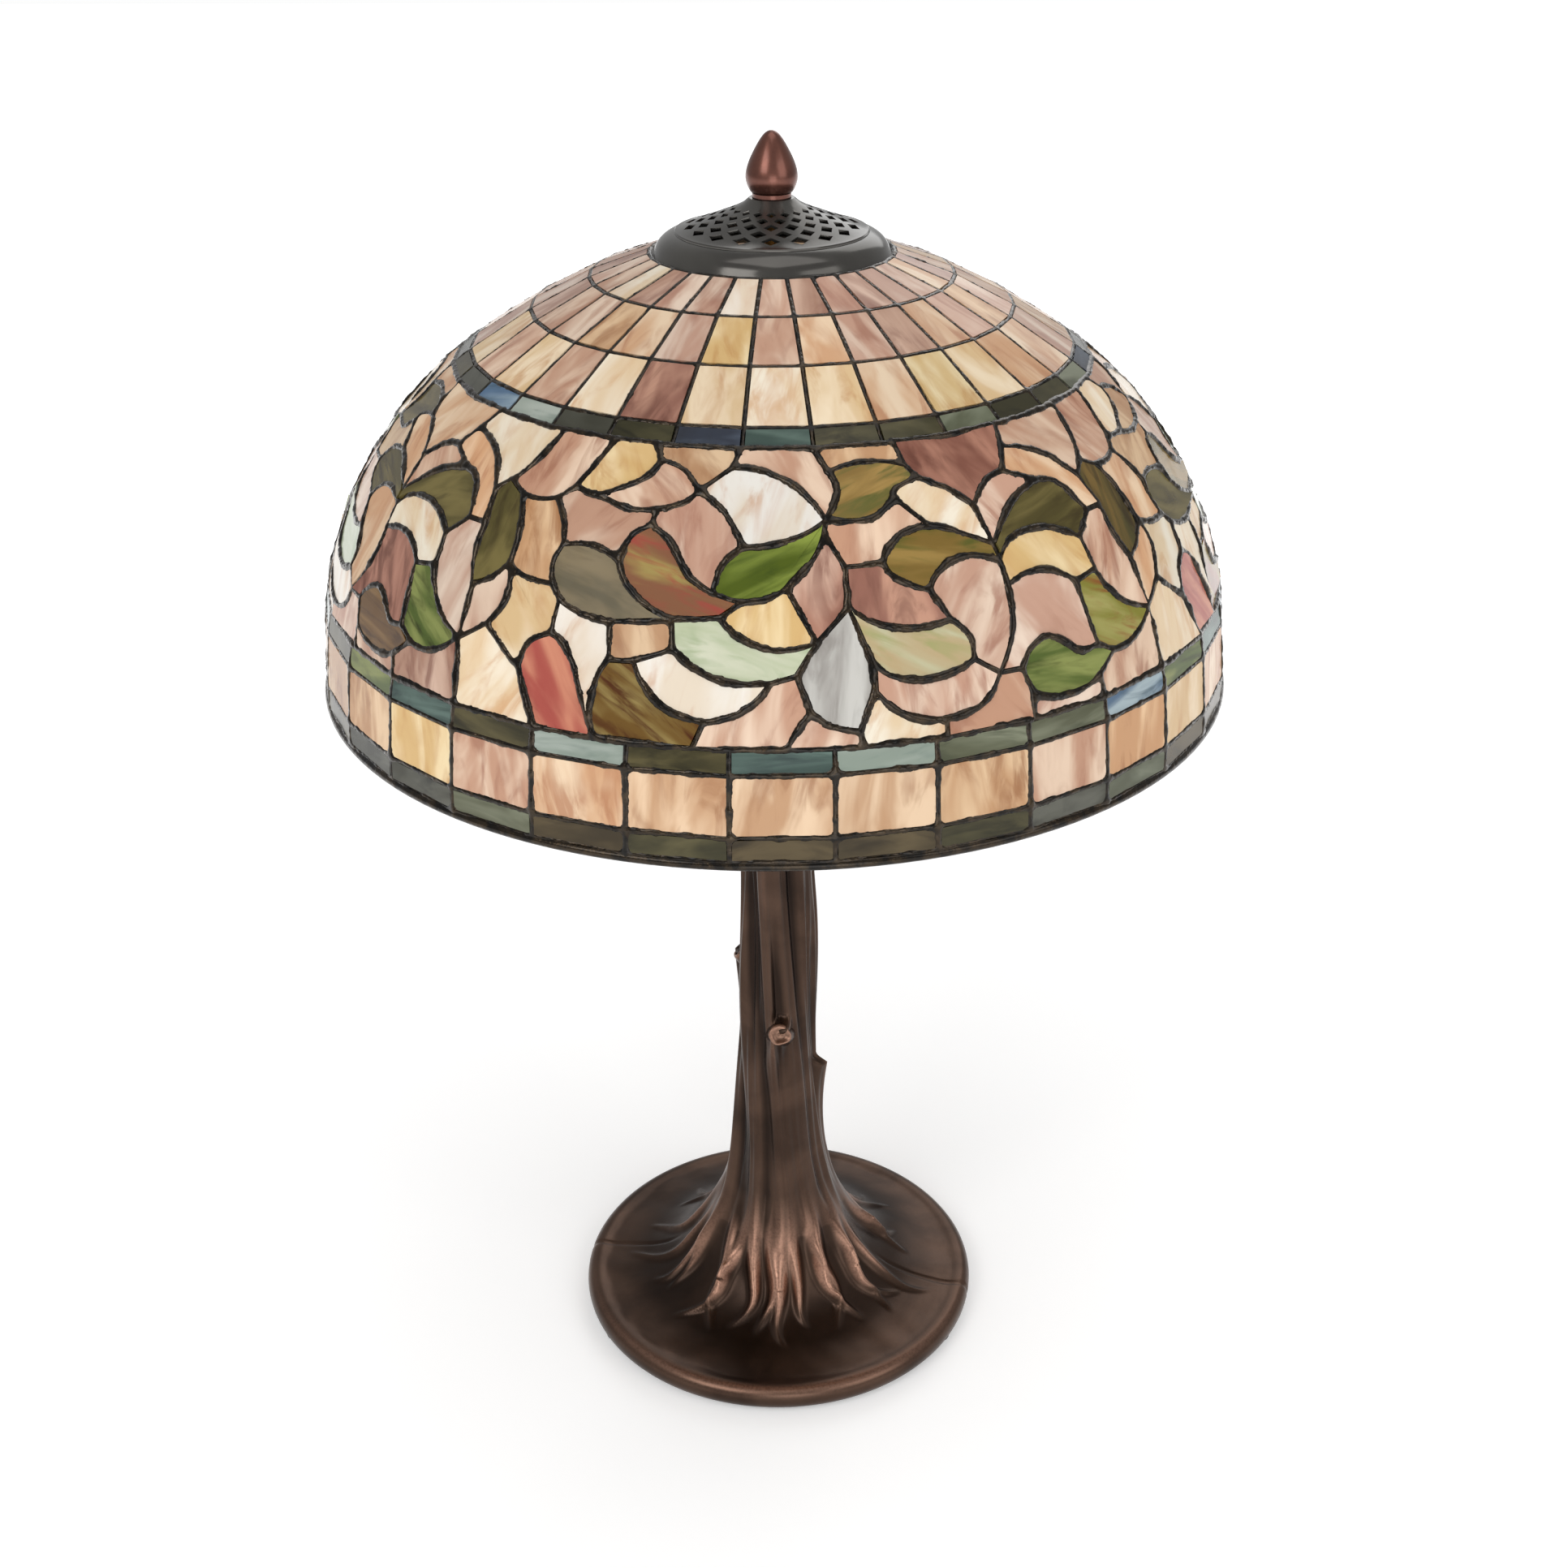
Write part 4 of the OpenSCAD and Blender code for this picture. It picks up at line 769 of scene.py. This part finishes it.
# the plain rows: the ring each starts at, its slot, the colours that come again and again,
# and the colours of the front panels from the given one on, where - keeps the repeated colour
plainRows = {
    "glass_row_top": {
        "ring": 0, "slot": "cream_glass", "frontFrom": -2,
        "cycle": "pink pink cream mauve pink salmon peach mauve",
        "front": "pink white pink mauve pink"},
    "glass_row_middle": {
        "ring": 1, "slot": "cream_glass", "frontFrom": -4,
        "cycle": "mauve pink salmon pink peach salmon tan salmon",
        "front": "tan - - honey salmon peach pink mauve"},
    "glass_row_lower": {
        "ring": 2, "slot": "cream_glass", "frontFrom": -4,
        "cycle": "honeyPale peach honeyPale pink honeyPale salmon peach tan",
        "front": "salmon cream mauveDeep honeyPale cream honeyPale peach honey"},
    "glass_upper_border": {
        "ring": 3, "slot": "slate_glass", "frontFrom": -6,
        "cycle": "teal darkOlive darkOlive greyGreen slate slate slate darkOlive navy",
        "front": "slate blue paleTeal slate darkOlive navy teal darkOlive darkOlive greyGreen"},
    "glass_lower_border": {
        "ring": 5, "slot": "green_glass", "frontFrom": -5,
        "cycle": "teal paleTeal greyGreen blue leafGreen darkOlive teal paleTeal",
        "front": "leafGreen teal darkOlive paleTeal darkOlive teal paleTeal greyGreen greyGreen blue"
                 " leafGreen"},
    "glass_skirt_row": {
        "ring": 6, "slot": "cream_glass", "frontFrom": -4,
        "cycle": "apricot honeyPale tan salmon apricot tan peach salmon",
        "front": "honey salmon peach apricot apricot apricot tan salmon tan"},
    "glass_bottom_border": {
        "ring": 7, "slot": "slate_glass", "frontFrom": -2,
        "cycle": "darkOlive umber slate umber greyGreen darkOlive umber slate",
        "front": "umber darkOlive umber umber darkOlive"},
}


def rowColour(row, panel):
    cycle, front = row["cycle"].split(), row["front"].split()
    # panels past the middle of the back count backwards from the front
    side = panel if panel < shade["panels"] / 2 else panel - shade["panels"]
    place = side - row["frontFrom"]
    if 0 <= place < len(front) and front[place] != "-":
        return front[place]
    return cycle[(panel * 5 + panel // 8) % len(cycle)]


for name, row in plainRows.items():
    mesh = GlassMesh()
    ring = row["ring"]
    for i in range(shade["panels"]):
        a = seamAngle(i)
        b = a + panelAngle
        corners = [ringPoint(ring, a), ringPoint(ring + 1, a), ringPoint(ring + 1, b), ringPoint(ring, b)]
        mesh.addSheet(corners, rowColour(row, i), grain=90 if "border" in name else 0)
    finishPiece(mesh.toObject(name), name + "_sheets", "shade", [name], row["slot"], angle=0)
print("glass rows cut")


# solder

solder = {
    "radius": {"band": 1.95, "upper": 1.45, "lower": 1.75},
    "swell": 0.22,              # share by which a seam grows and shrinks along its way
    "swellLength": 9,
    "pointStep": 2.6,
    "blobShare": (1.16, 0.92, 1.16),   # blob to seam, then least and most of that
    "grain": 1.05,              # size of the mesh
    # unevenness: name, size in metres, strength in millimetres, middle level
    "uneven": [("solderLumps", 0.0065, 0.95, 0.45), ("solderPits", 0.0024, 0.7, 0.5)],
    "collarBeads": (52.4, 1.5, 2.5),   # radius, smallest and largest bead along the collar
}


def solderNet(name, chains, blobs, radius):
    curve = bpy.data.curves.new(name, "CURVE")
    curve.dimensions = "3D"
    curve.bevel_depth = radius * mm
    curve.bevel_resolution = 2
    curve.use_fill_caps = True
    for chain in chains:
        spline = curve.splines.new("POLY")
        spline.points.add(len(chain) - 1)
        for point, p in zip(spline.points, chain):
            point.co = (*(p * mm), 1)
            point.radius = 1 + solder["swell"] * noise.noise(p / solder["swellLength"])
    makeActive(linkNew(name, curve))
    bpy.ops.object.convert(target="MESH")
    obj = bpy.context.object
    bm = bmesh.new()
    bm.from_mesh(obj.data)
    share, least, most = solder["blobShare"]
    for p in blobs:
        size = radius * share * dice.uniform(least, most) * mm
        bmesh.ops.create_icosphere(bm, subdivisions=1, radius=size, matrix=Matrix.Translation(p * mm))
    bm.to_mesh(obj.data)
    bm.free()
    applyModifier(obj, "REMESH", mode="VOXEL", voxel_size=solder["grain"] * mm, adaptivity=0.0)
    applyModifier(obj, "SMOOTH", factor=0.5, iterations=2)
    for label, size, strength, middle in solder["uneven"]:
        lumps = bpy.data.textures.get(label) or bpy.data.textures.new(label, "CLOUDS")
        lumps.noise_scale = size
        applyModifier(obj, "DISPLACE", texture=lumps, strength=strength * mm, mid_level=middle,
                      texture_coords="LOCAL")
    print(name, len(obj.data.polygons), "faces")
    return obj


def densify(points):
    out = [points[0]]
    for a, b in zip(points, points[1:]):
        n = max(1, round((b - a).length / solder["pointStep"]))
        out += [a + (b - a) * i / n for i in range(1, n + 1)]
    return out


def collarBead(degrees):
    # a lump of solder where a seam meets the collar
    reach, small, large = solder["collarBeads"]
    spot = around(degrees + dice.uniform(-0.8, 0.8), reach, topHeight)
    return [spot - Vector((0, 0, dice.uniform(0.2, 0.9))),
            spot + Vector((0, 0, dice.uniform(small, large) - 1.3))]


for turn in range(shade["bandRepeats"]):
    name = "solder_band_" + str(turn + 1)
    chains = [densify([domePoint(a + repeatAngle * turn, v) for a, v in chain])
              for shiftA, shiftB, chain in seamChains.values()]
    blobs = [domePoint(a + repeatAngle * turn, v) for a, v in bandCorners]
    finishPiece(solderNet(name, chains, blobs, solder["radius"]["band"]), name, "shade",
                ["seams_leaf_band"], "solder")
halfShade = shade["panels"] // 2
for label, first, last in (("upper", 0, bandRing), ("lower", bandRing + 1, len(rings) - 1)):
    for half in range(2):
        name = "solder_" + label + "_" + str(half + 1)
        start = half * halfShade
        chains = []
        blobs = []
        for ring in range(first, last + 1):
            # the band's own solder runs along its two rings
            if ring not in (bandRing, bandRing + 1):
                seams = range(start, start + halfShade + 1)
                chains.append(densify([ringPoint(ring, seamAngle(i)) for i in seams]))
        for i in range(start, start + halfShade):
            upright = [ringPoint(ring, seamAngle(i)) for ring in range(first, last + 1)]
            chains.append(densify(upright))
            blobs += upright
            if label == "upper":
                chains.append(collarBead(seamAngle(i)))
        finishPiece(solderNet(name, chains, blobs, solder["radius"][label]), name, "shade",
                    ["seams_" + label], "solder")
print("solder run")


# collar, cap and finial

top = {
    # radius, height over the shade's top
    "collar": [(38.6, 8.6), (39.6, 9.3), (40.6, 9.1), (43.4, 8.3), (46.6, 6.4), (48.6, 4.0), (49.6, 1.6),
               (50.3, 0.2), (51.9, -0.6), (51.9, -1.3), (49.5, -1.35), (44, -1.38), (39.6, -1.4),
               (39.6, -0.6), (46.5, -0.2), (47.4, 1.6), (46.4, 4.0), (44.2, 6.0), (41.2, 7.2), (38.6, 7.8)],
    "cap": [(4.5, 22.9), (9.5, 22.7), (12, 20.6), (16, 18.6), (21.5, 16.4), (28, 14.0), (34, 11.9),
            (38.6, 10.2), (40.4, 9.9), (40.9, 9.4)],
    "capSheet": 1.1,
    "holesInRow": 18,
    # rows of diamond holes: radius, half width, half length
    "holeRows": [(16.2, 2.1, 1.8), (20.4, 2.6, 2.1), (24.8, 3.1, 2.4), (29.6, 3.6, 2.6), (34.4, 4.0, 2.7)],
    "cutterLength": 40,
    "cutterMiddle": 15,
    # radius, height over the finial's foot
    "finial": [(3.3, 0.1), (7.4, 0.05), (8.7, 0.3), (9.3, 1.2), (10.0, 2.6), (10.6, 4.2), (11.0, 6.2),
               (10.8, 8.4), (10.1, 11.0), (9.1, 13.6), (7.8, 16.2), (6.4, 18.8), (5.0, 21.1), (3.7, 22.9),
               (2.5, 24.1), (1.2, 24.8), (0.0, 24.95)],
}
obj = turnedPiece([(r, topHeight + z) for r, z in top["collar"] + top["collar"][:1]], 128)
applyModifier(obj, "SUBSURF", levels=1, render_levels=1)
finishPiece(obj, "collar_ring", "shade", ["shade_collar"], "dark_metal")

outside = [(r, topHeight + z) for r, z in top["cap"]]
inside = [(r, z - top["capSheet"]) for r, z in reversed(outside)]
capSheet = turnedPiece(outside + inside + outside[:1], 144)
clearSelection()
cutters = []
for row, (r, wide, tall) in enumerate(top["holeRows"]):
    for i in range(top["holesInRow"]):
        bpy.ops.mesh.primitive_cone_add(vertices=4, radius1=1, radius2=1, depth=top["cutterLength"] * mm)
        cutter = bpy.context.object
        a = (i + (row % 2) / 2) * 360 / top["holesInRow"]
        cutter.scale = (wide * mm, tall * mm, 1)
        cutter.location = around(a, r, topHeight + top["cutterMiddle"]) * mm
        cutter.rotation_euler = (0, 0, math.radians(a))
        cutters.append(cutter)
clearSelection()
for cutter in cutters:
    cutter.select_set(True)
bpy.context.view_layer.objects.active = cutters[0]
bpy.ops.object.join()
cutter = bpy.context.object
makeActive(cutter)
bpy.ops.object.transform_apply(location=True, rotation=True, scale=True)
applyModifier(capSheet, "BOOLEAN", object=cutter, operation="DIFFERENCE", solver="EXACT")
bpy.data.objects.remove(cutter)
finishPiece(capSheet, "cap_sheet", "shade", ["pierced_cap"], "dark_metal", angle=35)

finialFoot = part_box("finial")[0][2] * 1000
obj = turnedPiece([(r, finialFoot + z) for r, z in top["finial"]], 64, capEnd=True)
applyModifier(obj, "SUBSURF", levels=1, render_levels=1)
finishPiece(obj, "finial_knob", "finial_body", ["finial"], "copper")
print("collar, cap and finial made")


# cast stand

stand = {
    "columns": 420,
    "rows": 300,
    # radius, height
    "profile": [(97.9, 5.2), (98.2, 2.6), (99.8, 2.4), (101.2, 3.6), (102, 6.0), (102, 8.6), (101.2, 11.0),
                (99.4, 12.7), (97.2, 13.4), (95.0, 13.4), (93.0, 13.1), (90, 13.0), (84, 13.6), (76, 14.9),
                (68, 16.8), (60, 20.2), (53, 24.6), (47, 30.0), (41.5, 37.5), (36.6, 47.0), (32.4, 57.5),
                (29.2, 68), (26.6, 80), (24.4, 93), (22.8, 110), (21.8, 130), (20.8, 160), (19.9, 190),
                (19.0, 220), (18.2, 250), (17.8, 290), (17.5, 325), (17.4, 343.6), (12, 344)],
    # folds of the bark: how many round the trunk, shift, length, depth
    "bark": [(1.8, (0, 0, 0), 130, 3.2), (3.4, (3.1, 0, 0), 120, 3.6), (7.2, (0, 7.7, 0), 95, 1.5)],
    "barkLean": 0.15,
    "trunkTrim": 2.1,
    # tips of the roots: radius, degrees, strength, sideways bend
    "roots": [(69, 5, 1.0, -5), (63, -8, 0.9, 4), (62, -22, 1.0, 7), (66, -31, 0.8, -5), (69, -46, 1.0, 9),
              (62, -59, 0.7, -6), (66, -74, 0.9, 8), (76, -90, 0.6, 6), (60, 17, 0.9, -6), (64, 29, 0.8, 5),
              (65, 40, 1.0, -8), (70, 51, 0.7, 6), (67, 63, 0.9, -9), (80, 74, 0.7, -6), (66, 92, 0.7, 5),
              (62, 106, 0.8, -7), (70, 121, 0.7, 6), (63, 137, 0.8, -5), (72, 152, 0.7, 7), (64, 168, 0.8, -6),
              (70, -176, 0.7, 6), (62, -160, 0.8, -6), (68, -143, 0.7, 6), (64, -126, 0.8, -7),
              (70, -108, 0.7, 6)],
    "rootStart": 27,
    "rootLead": 0.35,
    "rootHeight": 5.6,
    # cut branches: degrees, height, how far they stand out, radius, sideways lean, upward tilt
    "stubs": [(5, 170, 7.5, 5.0, 0.26, 28), (-94, 203, 5.0, 3.6, 0.1, 40), (82, 138, 6.0, 4.2, -0.12, 48)],
    "stubAxis": 22,
    "stubDrop": 66,
}
profileLength = [0]
for (r1, z1), (r2, z2) in zip(stand["profile"], stand["profile"][1:]):
    profileLength.append(profileLength[-1] + math.hypot(r2 - r1, z2 - z1))


def clamp(value, low=0, high=1):
    return min(max(value, low), high)


def profileAt(share):
    # point and outward direction at a share of the profile's length
    pts = stand["profile"]
    s = clamp(share) * profileLength[-1]
    i = 0
    while i < len(pts) - 2 and profileLength[i + 1] < s:
        i += 1
    t = (s - profileLength[i]) / (profileLength[i + 1] - profileLength[i])
    p0, p1, p2, p3 = pts[max(i - 1, 0)], pts[i], pts[i + 1], pts[min(i + 2, len(pts) - 1)]
    slope = Vector((p2[0] - p1[0], p2[1] - p1[1])).normalized()
    return curvePoint(p0, p1, p2, p3, t), Vector((slope.y, -slope.x))


def turnGap(a, b):
    return (a - b + 180) % 360 - 180


def barkRelief(a, z):
    # ridges flow up the trunk and lean a little
    lean = math.radians(a + z * stand["barkLean"])
    ring = Vector((math.cos(lean), math.sin(lean), 0))
    relief = 0
    for count, (x, y, up), length, depth in stand["bark"]:
        relief += noise.noise(ring * count + Vector((x, y, up + z / length))) * depth
    return relief - stand["trunkTrim"]


def rootRelief(a, r):
    # height of the roots, and how near the point is to the crest of one
    start, lead = stand["rootStart"], stand["rootLead"]
    height = 0
    crest = 0
    for tipRadius, tipAngle, strength, bend in stand["roots"]:
        along = (r - start) / (tipRadius * 1.06 - start)
        if along < -lead or along > 1.04:
            continue
        share = clamp(along)
        wobble = bend * math.sin(share * math.pi) + 2.2 * math.sin(share * 7 + tipAngle)
        off = turnGap(a, tipAngle + wobble) * math.pi / 180 * r
        width = 4.6 - 3.3 * share ** 0.8
        swell = (1 - share ** 2.2) * (0.35 + 0.65 * min(1, share * 3.2)) * strength
        fade = min(1, (along + lead) / lead) if along < 0 else 1
        bump = math.exp(-(off / width) ** 2) * swell * fade
        height += bump
        crest = max(crest, bump)
    return height * stand["rootHeight"], crest


def stubRelief(a, z):
    # the branches swell out of the trunk below their cut ends
    out = 0
    for angle, height, reach, size, sway, tilt in stand["stubs"]:
        up = z - height
        side = turnGap(a, angle) * math.pi / 180 * stand["stubAxis"] - up * sway
        if abs(side) > 22 or up > 12 or up < -75:
            continue
        if up <= size:
            t = max(0.0, 1 + (up - size) / stand["stubDrop"])
            wide = size * (0.85 + 0.75 * (1 - t))
            ridge = reach * t ** 2.6 * math.exp(-(abs(side) / wide) ** 2.6)
        else:
            top = max(0, 1 - (up - size) / 5) ** 1.5
            ridge = reach * math.exp(-(abs(side) / (size * 0.85)) ** 2.6) * top
        out = max(out, ridge)
    return out


def trunkAndRoots(a, r, z):
    # relief, and wear with painted highlight and shade, inside the base's rim: rubbed crests with a painted
    # highlight are above nought, painted shade in the folds below
    trunk = clamp((z - 30) / 45)
    fadeTop = 1 if z < 325 else max(0, (341 - z) / 16)
    bark = barkRelief(a, z) * trunk * fadeTop
    root, crest = rootRelief(a, r) if r < 90 else (0, 0)
    stub = stubRelief(a, z)
    angle = math.radians(a)
    disc = 0.35 * noise.noise(Vector((r * math.sin(angle), r * math.cos(angle), 0)) / 14)
    relief = bark + root * (1 - trunk * 0.75) + stub + disc * (1 - trunk)
    # painted highlight: crest wear is stronger on the front side and near the flare, and the disc near the
    # trunk, the bark crests and the stubs are lighter
    frontSheen = 0.5 + 0.5 * math.cos(math.radians(a - 8))
    flare = min(1, max(0.3, (78 - r) / 30))
    wearAndSheen = crest * 1.2 * flare * (0.4 + 0.6 * frontSheen ** 2) * (1 - trunk * 0.7)
    wearAndSheen += max(0, bark + 0.4) * 0.14 * trunk + min(1, stub / 6) * 0.3
    wearAndSheen += 0.22 * min(1, max(0, (62 - r) / 22)) * (1 - trunk)
    # painted shade: darker in the bark's valleys and in the dips between the roots
    valleyShade = max(0, -(bark + stand["trunkTrim"]) - 0.2) * 0.5 * trunk
    if 34 < r < 84:
        valleyShade += max(0, 0.45 - crest) * 1.5 * min(1, (84 - r) / 14) * (1 - trunk)
    return relief, wearAndSheen - min(0.95, valleyShade)


def standPoint(u, v):
    (r, z), normal = profileAt(1 - v)
    a = u * 360 - 180
    relief, wearAndSheen = trunkAndRoots(a, r, z) if z > 12 and r < 92 else (0, 0)
    # painted highlight along the top of the rim bead, strongest at the front
    if r > 92:
        front = 0.5 + 0.5 * math.cos(math.radians(a))
        rimHighlight = math.exp(-((r - 98.8) / 2.6) ** 2) * (0.12 + 0.5 * front ** 3)
        wearAndSheen = max(wearAndSheen, rimHighlight) if z > 8 else 0
    if r > 52:
        # the two halves of the casting meet in a fine line
        x, y = r * math.sin(math.radians(a)), -r * math.cos(math.radians(a))
        lineGap = y + 3.5 + 0.16 * x + 1.2 * math.sin(x / 11)
        relief -= 0.75 * math.exp(-(lineGap / 0.9) ** 2) * min(1, (r - 52) / 8)
    p = around(a, r + normal.x * relief, z + normal.y * relief)
    return (p.x, p.y, p.z), clamp(wearAndSheen, -1.0, 1.0)


obj = sheetGrid(stand["columns"], stand["rows"], standPoint)
finishPiece(obj, "cast_trunk", "stand", ["base_casting"], "bronze")
bm = bmesh.new()
bm.from_mesh(obj.data)
middles = [(f, f.calc_center_median()) for f in bm.faces]
if sum(f.normal.dot(Vector((c.x, c.y, 0))) for f, c in middles if c.z > 0.12) < 0:
    bmesh.ops.reverse_faces(bm, faces=bm.faces)
    bm.to_mesh(obj.data)
bm.free()

# a short cut branch with a rolled edge round a sunken end
branch = {
    "root": 13.0,
    "trunkRadius": 20.5,
    # share of the branch's radius, place before the cut end
    "profile": [(1.25, -6), (1, -2.5), (1.05, -0.8), (0.92, 0), (0.7, -0.2), (0.5, -1.1), (0.25, -1.2),
                (0, -0.7)],
    "lumpGrain": 210,
    "lump": 1.4,
    "widen": 1.12,
    "sheenWearLength": 3.5,
    "wearAndSheen": 0.6,
}
for number, (angle, height, reach, size, sway, tilt) in enumerate(stand["stubs"]):
    far = branch["trunkRadius"] + reach
    steps = [(size * 1.5, branch["root"])] + [(size * k, far + z) for k, z in branch["profile"]]
    obj = turnedPiece(steps, 24, capEnd=True)
    for v in obj.data.vertices:
        lump = noise.noise(v.co * branch["lumpGrain"] + Vector((number, 0, 0))) * branch["lump"] * mm
        v.co += Vector((v.co.x, v.co.y, 0)).normalized() * lump
        v.co.x *= branch["widen"]
    rise = math.radians(tilt)
    drop = stand["stubAxis"] * math.sin(rise)
    swing = Matrix.Rotation(math.radians(angle), 4, "Z")
    lift = Matrix.Translation(Vector((0, 0, height * mm)) - Vector((0, 0, drop * mm)))
    obj.data.transform(lift @ swing @ Matrix.Rotation(math.radians(90 - tilt), 4, "X"))
    applyModifier(obj, "SUBSURF", levels=2, render_levels=2)
    # the cut end's rolled edge is lighter: rubbed wear with a painted highlight
    rubSheenShade = obj.data.attributes.new("rubSheenShade", "FLOAT", "POINT")
    axis = swing.to_3x3() @ Vector((0, -math.cos(rise), math.sin(rise)))
    origin = Vector((0, 0, (height - drop) * mm))
    for v in obj.data.vertices:
        before = (v.co - origin).dot(axis) / mm - far + branch["sheenWearLength"]
        rubSheenShade.data[v.index].value = clamp(before / branch["sheenWearLength"]) * branch["wearAndSheen"]
    finishPiece(obj, "cut_branch_" + str(number + 1), "stand", ["base_casting"], "bronze")
print("stand cast")


# floor, world, lights and camera

studio = {
    "floorSize": 12,
    "floorDrop": 0.0001,
    "floorColours": [(0.86, 0.86, 0.86), (0.9, 0.9, 0.9)],
    # the floor glows more with distance, so it runs into the background
    "floorGlow": {"From Min": 0.35, "From Max": 1.6, "To Min": 0.3, "To Max": 0.85},
    "skyLight": 0.5,
    "skySeen": (0.98, 0.98, 0.98, 1),
    # name, place, size, power
    "lights": [("key", (-1.1, -1.5, 1.7), 1.1, 13), ("fill", (1.4, -1.1, 1.2), 1.2, 7),
               ("top", (0.1, -0.1, 2.1), 1.3, 7), ("back", (0.4, 1.5, 1.4), 1.2, 6),
               ("low", (0.2, -1.6, 0.45), 0.8, 4)],
    "lightsAim": (0, 0, 0.33),
}
clearSelection()
bpy.ops.mesh.primitive_plane_add(size=studio["floorSize"], location=(0, 0, -studio["floorDrop"]))
floor = bpy.context.object
floor.name = "floor"
mat, tree, shader = newMaterial("paleFloor")
link = tree.links.new
link(mixColour(tree, *studio["floorColours"], noiseField(tree, None, 3.0, 2.0)), shader.inputs["Base Color"])
place = tree.nodes.new("ShaderNodeTexCoord")
distance = addNode(tree, "ShaderNodeVectorMath", operation="LENGTH")
glow = addNode(tree, "ShaderNodeMapRange", interpolation_type="SMOOTHSTEP")
link(place.outputs["Object"], distance.inputs[0])
link(distance.outputs["Value"], glow.inputs["Value"])
setInputs(glow, studio["floorGlow"])
link(glow.outputs[0], shader.inputs["Emission Color"])
setInputs(shader, {"Roughness": 0.9, "Emission Strength": 1.0})
floor.data.materials.append(mat)

world = bpy.data.worlds.new("studio")
bpy.context.scene.world = world
world.use_nodes = True
sky = world.node_tree
lighting = sky.nodes["Background"]
setInputs(lighting, {"Color": (1, 1, 1, 1), "Strength": studio["skyLight"]})
seen = sky.nodes.new("ShaderNodeBackground")
setInputs(seen, {"Color": studio["skySeen"], "Strength": 1.0})
rays = sky.nodes.new("ShaderNodeLightPath")
choose = sky.nodes.new("ShaderNodeMixShader")
for index, value in enumerate((rays.outputs["Is Camera Ray"], lighting.outputs[0], seen.outputs[0])):
    sky.links.new(value, choose.inputs[index])
sky.links.new(choose.outputs[0], sky.nodes["World Output"].inputs[0])
for name, place, size, power in studio["lights"]:
    clearSelection()
    bpy.ops.object.light_add(type="AREA", location=place)
    lamp = bpy.context.object
    lamp.name = name
    lamp.data.size = size
    lamp.data.energy = power
    aim = Vector(studio["lightsAim"]) - Vector(place)
    lamp.rotation_euler = aim.to_track_quat("-Z", "Y").to_euler()

view = {
    "place": (0.01414, -0.8718, 0.7416),
    "pitch": 26.93, "yaw": 0.666, "roll": 0.253,
    "lens": 47.31,
    "sensor": 36,
}
clearSelection()
bpy.ops.object.camera_add(location=view["place"])
camera = bpy.context.object
pitch, yaw, roll = (math.radians(view[k]) for k in ("pitch", "yaw", "roll"))
ahead = Vector((-math.sin(yaw) * math.cos(pitch), math.cos(yaw) * math.cos(pitch), -math.sin(pitch)))
right = Vector((math.cos(yaw), math.sin(yaw), 0))
up = right.cross(ahead)
rolledRight = right * math.cos(roll) - up * math.sin(roll)
rolledUp = up * math.cos(roll) + right * math.sin(roll)
camera.rotation_euler = Matrix((rolledRight, rolledUp, -ahead)).transposed().to_euler()
camera.data.lens = view["lens"]
camera.data.sensor_width = view["sensor"]
bpy.context.scene.camera = camera
bpy.context.scene.view_settings.view_transform = "Standard"
print("stage set")
